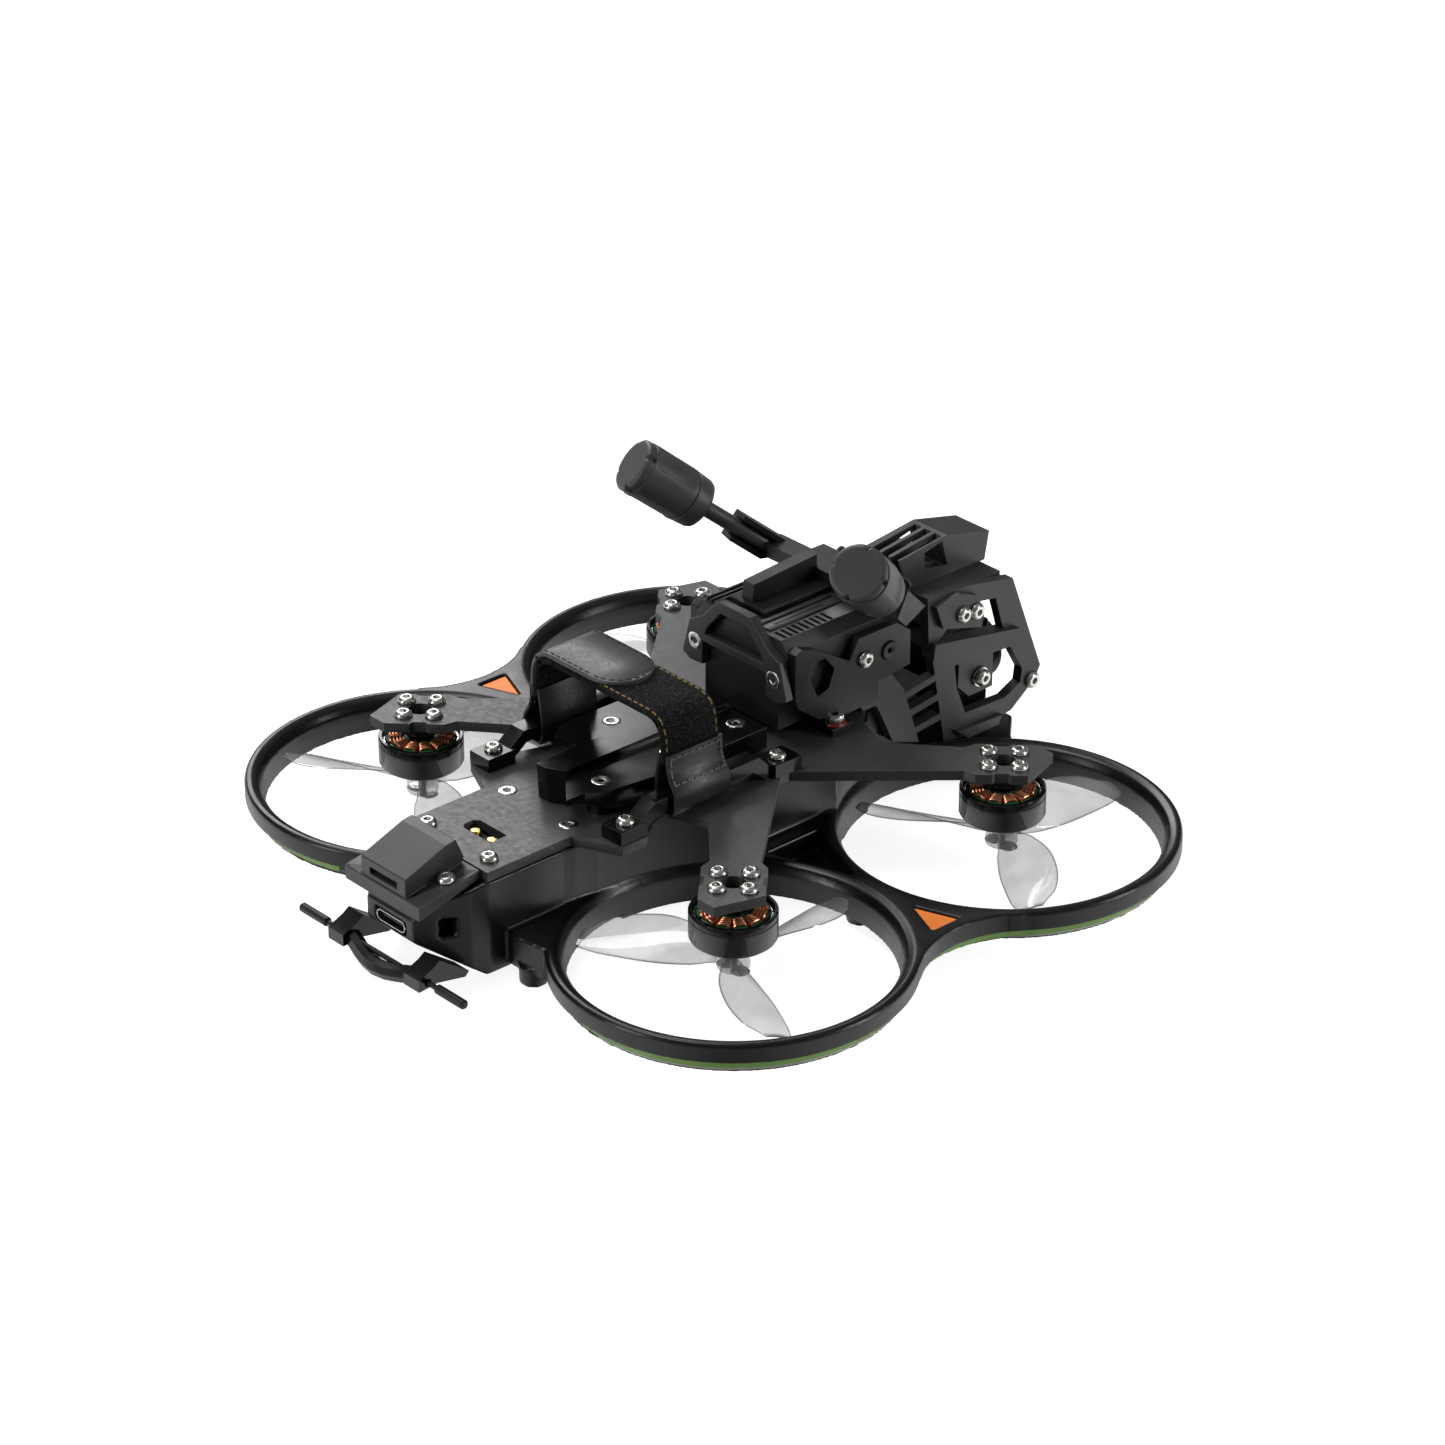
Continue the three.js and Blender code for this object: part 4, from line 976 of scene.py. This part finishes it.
def propeller(corner, centre):
    """Three clear blades on a hollow hub, on the shaft's end and two screws from below."""
    node = f"propeller_{corner}"
    bottom, top = low(node).z / MM, high(node).z / MM
    mirrored = centre.x * centre.y < 0
    bm = bmesh.new()
    edge_shade_layer = bm.verts.layers.float.new("rim")
    place = aim(centre)
    hub = [(0.9, 0), (2.9, 0), (3.3, 0.3), (3.45, 0.9), (3.2, 2.2), (3.45, 3.6)]
    hub = [(reach, bottom + height) for reach, height in hub]
    hub += [(3.9, top - 1.2), (4.1, top - 0.3), (3.9, top - 0.05), (0.9, top - 0.05)]
    lathe(bm, hub, 40, place, True)
    # The hub takes the painted edge shade too.
    for vert in bm.verts:
        vert[edge_shade_layer] = HUB_SHADE
    for angle in (90, 210, 330):
        blade(bm, aim(centre, turn=math.radians(angle)), edge_shade_layer, mirrored, bottom + 2.8)
    body = f"rotor_{corner}"
    build(f"propeller_blades_{corner}", bm, [BLADE_PLASTIC], [node], body, 60)
    bm = bmesh.new()
    for flip in SIDES.values():
        screw(bm, centre + point(2.1 * flip, 0, bottom), -UP, FLUSH)
    tip = bottom - 0.2
    lathe(bm, [(0, tip), (0.7, tip), (0.75, bottom), (0.75, top), (0, top)], 20, place)
    build(f"propeller_screws_{corner}", bm, [STEEL], body=body)


for corner_name, motor_centre in ROTORS.items():
    bell(corner_name, motor_centre)
    stator(corner_name, motor_centre)
    coils(corner_name, motor_centre)
    propeller(corner_name, motor_centre)

# ---- battery strap

STRAP_HALF = 7.5
FELT_THICK = 1.4
FACING_THICK = 1.1
LOOP_THICK = 0.9
STITCH_PITCH = 1.8
STITCH_LENGTH = 0.9
STITCH_RADIUS = 0.2
SEAM_INSET = 0.85
STRAP_STEP = 0.45

STRAP_MIDDLE = (low("battery_strap").y + high("battery_strap").y) / 2 / MM
STRAP_TOP = high("battery_strap").z / MM

# Corners of each layer's middle line as (x, z) in millimetres, right half.
FELT_TOP = STRAP_TOP - 0.8
LEG = [(16.6, FELT_TOP), (19.15, 44.1), (19.85, 36.2)]
LOOP = [(18.75, 38.2), (17.72, 32.4), (17.72, 25.75), (23.2, 25.75), (23.5, 30.9)]
LOOP += [(21.6, 33.2), (21.05, 35), (20.95, 38.6)]


def mirrored(corners):
    return [(-x, z) for x, z in reversed(corners)]


def rounded_path(corners, radius):
    """Evenly spaced points along a line whose corners are rounded."""
    line = [Vector(corners[0])]
    for before, corner, after in zip(corners, corners[1:], corners[2:]):
        corner = Vector(corner)
        start = corner + (Vector(before) - corner).normalized() * radius
        end = corner + (Vector(after) - corner).normalized() * radius
        for i in range(7):
            t = i / 6
            line.append(start * (1 - t) ** 2 + corner * 2 * t * (1 - t) + end * t * t)
    line.append(Vector(corners[-1]))
    return respaced(line)


def respaced(line):
    """Points at even spacing along a line, ending close to its end."""
    spots = [line[0]]
    along = STRAP_STEP
    for start, end in zip(line, line[1:]):
        length = (end - start).length
        while along <= length:
            spots.append(start.lerp(end, along / length))
            along += STRAP_STEP
        along -= length
    return spots


def strap_point(path, index, lift, across):
    """A point on the strap: lifted off the path's middle line, and across its width."""
    before, after = path[max(index - 1, 0)], path[min(index + 1, len(path) - 1)]
    along = (after - before).normalized()
    spot = path[index] + Vector((-along.y, along.x)) * lift
    return point(spot.x, STRAP_MIDDLE + across, spot.y)


def ribbon(bm, path, thick, round_tip=False):
    """A flat band along the path with rounded edges, and a half-round tip if asked."""
    edge = 0.32
    narrowest = 0.3
    half = thick / 2
    left = sum((b - a).length for a, b in zip(path, path[1:]))
    rings = []
    for index, spot in enumerate(path):
        if index:
            left -= (spot - path[index - 1]).length
        width = STRAP_HALF
        if round_tip and left < STRAP_HALF:
            width = math.sqrt(max(STRAP_HALF**2 - (STRAP_HALF - left) ** 2, narrowest**2))
        outer = [(half * 0.45, width), (half, width - edge)]
        outer += [(lift, -across) for lift, across in reversed(outer)]
        inner = [(-lift, across) for lift, across in reversed(outer)]
        ring = [bm.verts.new(strap_point(path, index, lift, y)) for lift, y in outer + inner]
        rings.append(ring)
    closed_skin(bm, rings)


def stitches(bm, line, normals):
    """Short threads laid along a line of points, dipping into the surface at their ends."""
    spacing = (line[1] - line[0]).length / MM
    stride = max(round(STITCH_PITCH / spacing), 2)
    reach = max(round(STITCH_LENGTH / spacing), 1)
    for start in range(0, len(line) - reach, stride):
        dip = STITCH_RADIUS * 1.4 * MM
        middle = start + reach // 2
        spots = [line[start] - normals[start] * dip]
        spots += line[start : start + reach + 1]
        spots.append(line[start + reach] - normals[middle] * dip)
        tube(bm, spots, STITCH_RADIUS, 6)


def edge_seams(bm, path, lift):
    """Stitching along both edges of the outer side of a band."""
    for side in (1, -1):
        across = side * (STRAP_HALF - SEAM_INSET)
        line = [strap_point(path, i, lift, across) for i in range(len(path))]
        above = [strap_point(path, i, lift + 1, across) for i in range(len(path))]
        normals = [(b - a).normalized() for a, b in zip(line, above)]
        stitches(bm, line, normals)


def cross_seam(bm, path, index, lift):
    """Stitching straight across a band."""
    reach = STRAP_HALF - SEAM_INSET
    count = round(2 * reach / STRAP_STEP)
    places = [-reach + 2 * reach * i / count for i in range(count + 1)]
    line = [strap_point(path, index, lift, across) for across in places]
    out = (strap_point(path, index, lift + 1, 0) - strap_point(path, index, lift, 0)).normalized()
    stitches(bm, line, [out] * len(line))


def strap():
    """Felt band over the battery bay, faced with leather, looped round both bars."""
    felt_path = rounded_path(mirrored(LEG) + LEG, 2.4)
    bm = bmesh.new()
    ribbon(bm, felt_path, FELT_THICK)
    build("strap_felt_band", bm, [FELT], ["battery_strap"], sharp=60)

    lift = (FELT_THICK + FACING_THICK) / 2
    left_leg = [(x - lift * 0.9, z) for x, z in mirrored(LEG)]
    facing_top = FELT_TOP + lift
    left_leg[-1] = (left_leg[-1][0], facing_top)
    tip_reach = 5.6
    facing_path = rounded_path(left_leg + [(tip_reach, facing_top)], 2.6)
    bm = bmesh.new()
    ribbon(bm, facing_path, FACING_THICK, round_tip=True)
    build("strap_facing", bm, [LEATHER], sharp=60)

    loops = {1: rounded_path(LOOP, 1.6), -1: rounded_path(mirrored(LOOP), 1.6)}
    bm = bmesh.new()
    for path in loops.values():
        ribbon(bm, path, LOOP_THICK)
    build("strap_loops", bm, [DARK_AND_SHADED_LEATHER], sharp=60)

    bm = bmesh.new()
    seam_start = -4
    bare_part = [spot for spot in felt_path if spot.x > seam_start]
    edge_seams(bm, bare_part, FELT_THICK / 2)
    build("strap_gold_seams", bm, [GOLD_THREAD])

    bm = bmesh.new()
    raised = FACING_THICK / 2
    straight = [spot for spot in facing_path if spot.x < tip_reach - STRAP_HALF]
    edge_seams(bm, straight, raised)
    arc_radius = STRAP_HALF - SEAM_INSET
    arc_middle = point(tip_reach - STRAP_HALF, STRAP_MIDDLE, facing_top + raised)
    arc = []
    for i in range(round(math.pi * arc_radius / STRAP_STEP) + 1):
        angle = math.pi / 2 - i * STRAP_STEP / arc_radius
        arc.append(arc_middle + round_z(arc_radius, angle, 0))
    stitches(bm, arc, [UP] * len(arc))
    build("strap_facing_seams", bm, [DARK_THREAD])

    bm = bmesh.new()
    outward = -LOOP_THICK / 2
    for side, path in loops.items():
        # The right loop's line ends at its outer seam, and the left loop's line starts there.
        outer_end = len(path) - 3 if side > 0 else 2
        crease = round(len(path) * 0.71) if side > 0 else round(len(path) * 0.29)
        cross_seam(bm, path, outer_end, outward)
        cross_seam(bm, path, crease, outward)
        start, end = sorted((crease, outer_end))
        edge_seams(bm, path[start : end + 1], outward)
    build("strap_loop_seams", bm, [GREY_THREAD])


strap()

# ---- video unit, aerials, camera

AERIAL_AXIS = Vector((0.375, -0.7, 0.606)).normalized()
CAP_RADIUS = 6.1
CAP_CHAMFER = 0.8
PANEL_DEPTH = 0.16
NOTCH_DEPTH = 0.7


def notched(radius, count, half_angle, depth, start):
    """Radius that drops by a depth within a half angle of each of several directions."""
    ramp = 0.06
    sector = TAU / count

    def reach(angle):
        offset = abs((angle - start + sector / 2) % sector - sector / 2)
        return radius - depth * min(max((half_angle - offset) / ramp + 0.5, 0), 1)

    return reach


def panelled(radius):
    """Radius of a cap with three sunken panels."""
    return notched(radius, 3, 0.42, PANEL_DEPTH, 0.5)


def rimmed(radius, depth=NOTCH_DEPTH):
    """Radius of a cap's rim with four notches."""
    return notched(radius, 4, 0.07, depth, 0.3)


def video_aerial(side, flip):
    """Cap with three sunken side panels and four rim notches, on a sleeved stem."""
    node = f"video_antenna_{side}"
    axis = Vector((AERIAL_AXIS.x * flip, AERIAL_AXIS.y, AERIAL_AXIS.z))
    reach = CAP_RADIUS * Vector([math.sqrt(1 - part * part) for part in axis])
    face_x = high(node).x / MM - reach.x if flip > 0 else low(node).x / MM + reach.x
    rim_middle = point(face_x, low(node).y / MM + reach.y, high(node).z / MM - reach.z)
    face = rim_middle + axis * CAP_CHAMFER * MM
    stem = [(0, -41), (1.35, -41), (1.42, -38.4)]
    sleeve = [(1.85, -38), (1.95, -37.6), (1.95, -28.4), (1.75, -28), (1.75, -19.8)]
    shoulder = [(2.1, -19.2), (2.3, -18.7), (4.7, -18.4), (5.3, -18), (5.6, -17.3)]
    groove = [(5.85, -14.2), (5.62, -14.05), (5.62, -13.9), (5.9, -13.75), (6, -12.8)]
    wall = [(panelled(6), -12.5), (panelled(CAP_RADIUS), -3.2)]
    band = [(CAP_RADIUS, -2.9), (CAP_RADIUS, -2.2), (rimmed(5.85), -2.1), (rimmed(5.95), -0.6)]
    top = [(rimmed(5.6), -0.15), (rimmed(5.2, NOTCH_DEPTH * 0.6), 0), (4.9, 0), (0, 0)]
    bm = bmesh.new()
    lathe(bm, stem + sleeve + shoulder + groove + wall + band + top, 120, aim(face, axis))
    build(f"{node}_shell", bm, [AERIAL], [node], sharp=42)


def video_unit():
    """Painted housing with raised strips on both halves of its lid."""
    finish_cad("video_unit", UNIT, 0.3)
    top = high("video_unit").z / MM
    rear, front = low("video_unit").y / MM + 1.2, high("video_unit").y / MM - 9.5
    wide = [(2.6, 4.1, 0.35), (4.7, 7.4, 0.35)]
    narrow = [(x, x + 0.7, 0.6) for x in (-12.6, -11.2, -9.8)]
    bm = bmesh.new()
    for start, end, height in wide + narrow:
        block(bm, (start, rear, top - 0.4), (end, front, top + height), 0.12)
    block(bm, (5.6, 12.6, top + 0.1), (6.1, 26, top + 0.5), 0.08)
    build("video_unit_strips", bm, [UNIT])


def camera_lens():
    """Lens barrel with stepped rings and a domed front glass."""
    lens_low, lens_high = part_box("camera_lens")
    length = (lens_high.y - lens_low.y) / MM
    back = (lens_low + lens_high) / 2
    back.y = lens_low.y
    place = aim(back, Vector((0, 1, 0)))
    bm = bmesh.new()
    barrel = [(0, 0), (5.8, 0), (5.8, 3.8), (6.9, 4.6), (7.2, 5)]
    for i in range(6):
        z = 5.6 + 0.4 * i
        barrel += [(7.4, z), (7.4, z + 0.2), (7.2, z + 0.25), (7.2, z + 0.35)]
    barrel += [(7.3, length - 0.4), (7.1, length), (6.2, length), (5.9, length - 0.7)]
    barrel += [(5.2, length - 1.2), (5, length - 1.3)]
    last = lathe(bm, barrel, 64, place)
    for radius, rise in ((4.4, -1.05), (3.4, -0.6), (2.2, -0.3), (1, -0.17)):
        ring = circle(bm, place, radius, length + rise, 64)
        bridge(bm, last, ring, 1)
        last = ring
    cap(bm, last, 1)
    build("camera_lens_barrel", bm, [SATIN, GLASS], ["camera_lens"], "camera", 34)


def lead(bm, corners, radius, sides):
    """A round lead along the smooth curve that four control points make."""
    a, b, c, d = (point(*corner) for corner in corners)
    count = 18
    spots = []
    for i in range(count + 1):
        t = i / count
        u = 1 - t
        spots.append(a * u**3 + b * 3 * u * u * t + c * 3 * u * t * t + d * t**3)
    tube(bm, spots, radius, sides)


def leads():
    """Aerial leads that run from the mount to the unit, and the camera's lead."""
    halfway = (9.6, 46.5, 43.8)
    over = [(5.5, 40.5, 49), (8.5, 45, 51), (11.2, 49.5, 47.5), halfway]
    under = [halfway, (8.4, 44.5, 41.2), (6.5, 41.5, 40.5), (5, 39.6, 40.5)]
    bm = bmesh.new()
    for flip in SIDES.values():
        for corners in (over, under):
            lead(bm, [(flip * x, y, z) for x, y, z in corners], 0.62, 12)
    build("aerial_leads", bm, [RUBBER])
    bm = bmesh.new()
    for x in (-1.8, -0.6, 0.6, 1.8):
        lead(bm, [(x, 39.8, 33), (x, 46, 33), (x, 47, 27), (x, 53, 24)], 0.55, 8)
    build("camera_lead", bm, [RUBBER])


for side_name, side_sign in SIDES.items():
    video_aerial(side_name, side_sign)
video_unit()
camera_lens()
leads()

# ---- floor, light, camera

CAMERA_AZIMUTH = math.radians(48.02)
CAMERA_ELEVATION = math.radians(28.28)
CAMERA_DISTANCE = 1.0451
CAMERA_TARGET = Vector((0, 0, 0.025))
LENS_MM = 125.56
SENSOR_MM = 36.0
SHIFT_X = 0.0092
SHIFT_Y = 0.0063

# Level directions to the camera's right and away from it, and the way back to the camera.
ACROSS = Vector((math.cos(CAMERA_AZIMUTH), math.sin(CAMERA_AZIMUTH), 0))
AWAY = Vector((-ACROSS.y, ACROSS.x, 0))
BACK = UP * math.sin(CAMERA_ELEVATION) - AWAY * math.cos(CAMERA_ELEVATION)


def looking_in(name, data, location):
    """A lamp or a camera at a place, turned to look at the object."""
    obj = bpy.data.objects.new(name, data)
    obj.location = location
    obj.rotation_mode = "QUATERNION"
    obj.rotation_quaternion = (CAMERA_TARGET - obj.location).to_track_quat("-Z", "Y")
    bpy.context.scene.collection.objects.link(obj)
    return obj


def place_camera():
    """A long lens, above and behind the drone on its right."""
    data = bpy.data.cameras.new("camera")
    data.lens = LENS_MM
    data.sensor_width = SENSOR_MM
    data.shift_x = SHIFT_X
    data.shift_y = SHIFT_Y
    data.clip_start = 0.05
    data.clip_end = 50
    spot = CAMERA_TARGET + BACK * CAMERA_DISTANCE
    bpy.context.scene.camera = looking_in("camera", data, spot)


def soft_light(name, location, size, watts):
    """A rectangular soft box that looks at the object."""
    data = bpy.data.lights.new(name, "AREA")
    data.shape = "RECTANGLE"
    data.size, data.size_y = size
    data.energy = watts
    looking_in(name, data, location).visible_camera = False


def white_floor():
    """Pale floor that glows a little, so that it stays white under a dark object."""
    look = Look("studio_floor", (0.5, 0.5, 0.5), 0.9)
    look.mottle(400, 1, 0.3, (0.48, 0.48, 0.485))
    look.set("Specular IOR Level", 0.0)
    look.set("Emission Color", (1, 1, 1, 1))
    # Reflections see the floor bright to the left and right, and dark towards the camera.
    incoming = look.node("ShaderNodeNewGeometry").outputs["Incoming"]
    sideways = look.node(
        "ShaderNodeVectorMath", {0: incoming, 1: ACROSS}, operation="DOT_PRODUCT"
    ).outputs["Value"]
    mirrored_glow = look.remap(look.math("ABSOLUTE", sideways), 0.06, 1.05, 0.15, 0.75)
    in_mirror = look.node("ShaderNodeLightPath").outputs["Is Glossy Ray"]
    strength = look.node("ShaderNodeMix", {0: in_mirror, 2: 0.88, 3: mirrored_glow})
    look.set("Emission Strength", strength.outputs[0])
    bm = bmesh.new()
    bmesh.ops.create_grid(bm, x_segments=1, y_segments=1, size=6)
    mesh = bpy.data.meshes.new("floor")
    bm.to_mesh(mesh)
    bm.free()
    mesh.materials.append(look.material)
    floor = bpy.data.objects.new("floor", mesh)
    floor.visible_diffuse = False
    bpy.context.scene.collection.objects.link(floor)


def sky():
    """Dim surroundings for reflections, brighter overhead; white behind the object."""
    world = bpy.data.worlds.new("studio")
    world.use_nodes = True
    tree = world.node_tree
    background = tree.nodes["Background"]
    background.inputs["Color"].default_value = (1, 1, 1, 1)
    direction = tree.nodes.new("ShaderNodeTexCoord").outputs["Generated"]
    split = tree.nodes.new("ShaderNodeSeparateXYZ")
    tree.links.new(direction, split.inputs[0])
    ramp = tree.nodes.new("ShaderNodeMapRange")
    ramp.inputs["To Min"].default_value = 0.02
    ramp.inputs["To Max"].default_value = 0.3
    tree.links.new(split.outputs[2], ramp.inputs["Value"])
    seen = tree.nodes.new("ShaderNodeLightPath").outputs["Is Camera Ray"]
    strength = tree.nodes.new("ShaderNodeMix")
    tree.links.new(seen, strength.inputs[0])
    tree.links.new(ramp.outputs[0], strength.inputs[2])
    strength.inputs[3].default_value = 1.0
    tree.links.new(strength.outputs[0], background.inputs["Strength"])
    bpy.context.scene.world = world


def studio():
    """Pale floor and surroundings, lit by four soft boxes."""
    white_floor()
    sky()
    soft_light("far_box", AWAY * 0.75 - ACROSS * 0.3 + UP * 0.55, (0.6, 0.45), 5)
    soft_light("overhead", AWAY * 0.1 - ACROSS * 0.3 + UP, (0.4, 0.4), 4)
    soft_light("right_box", ACROSS - AWAY * 0.25 + UP * 0.3, (0.16, 0.6), 4.5)
    soft_light("left_box", UP * 0.4 - ACROSS * 0.9 - AWAY * 0.5, (0.2, 0.6), 4)
    bpy.context.scene.view_settings.view_transform = "Standard"


studio()
place_camera()
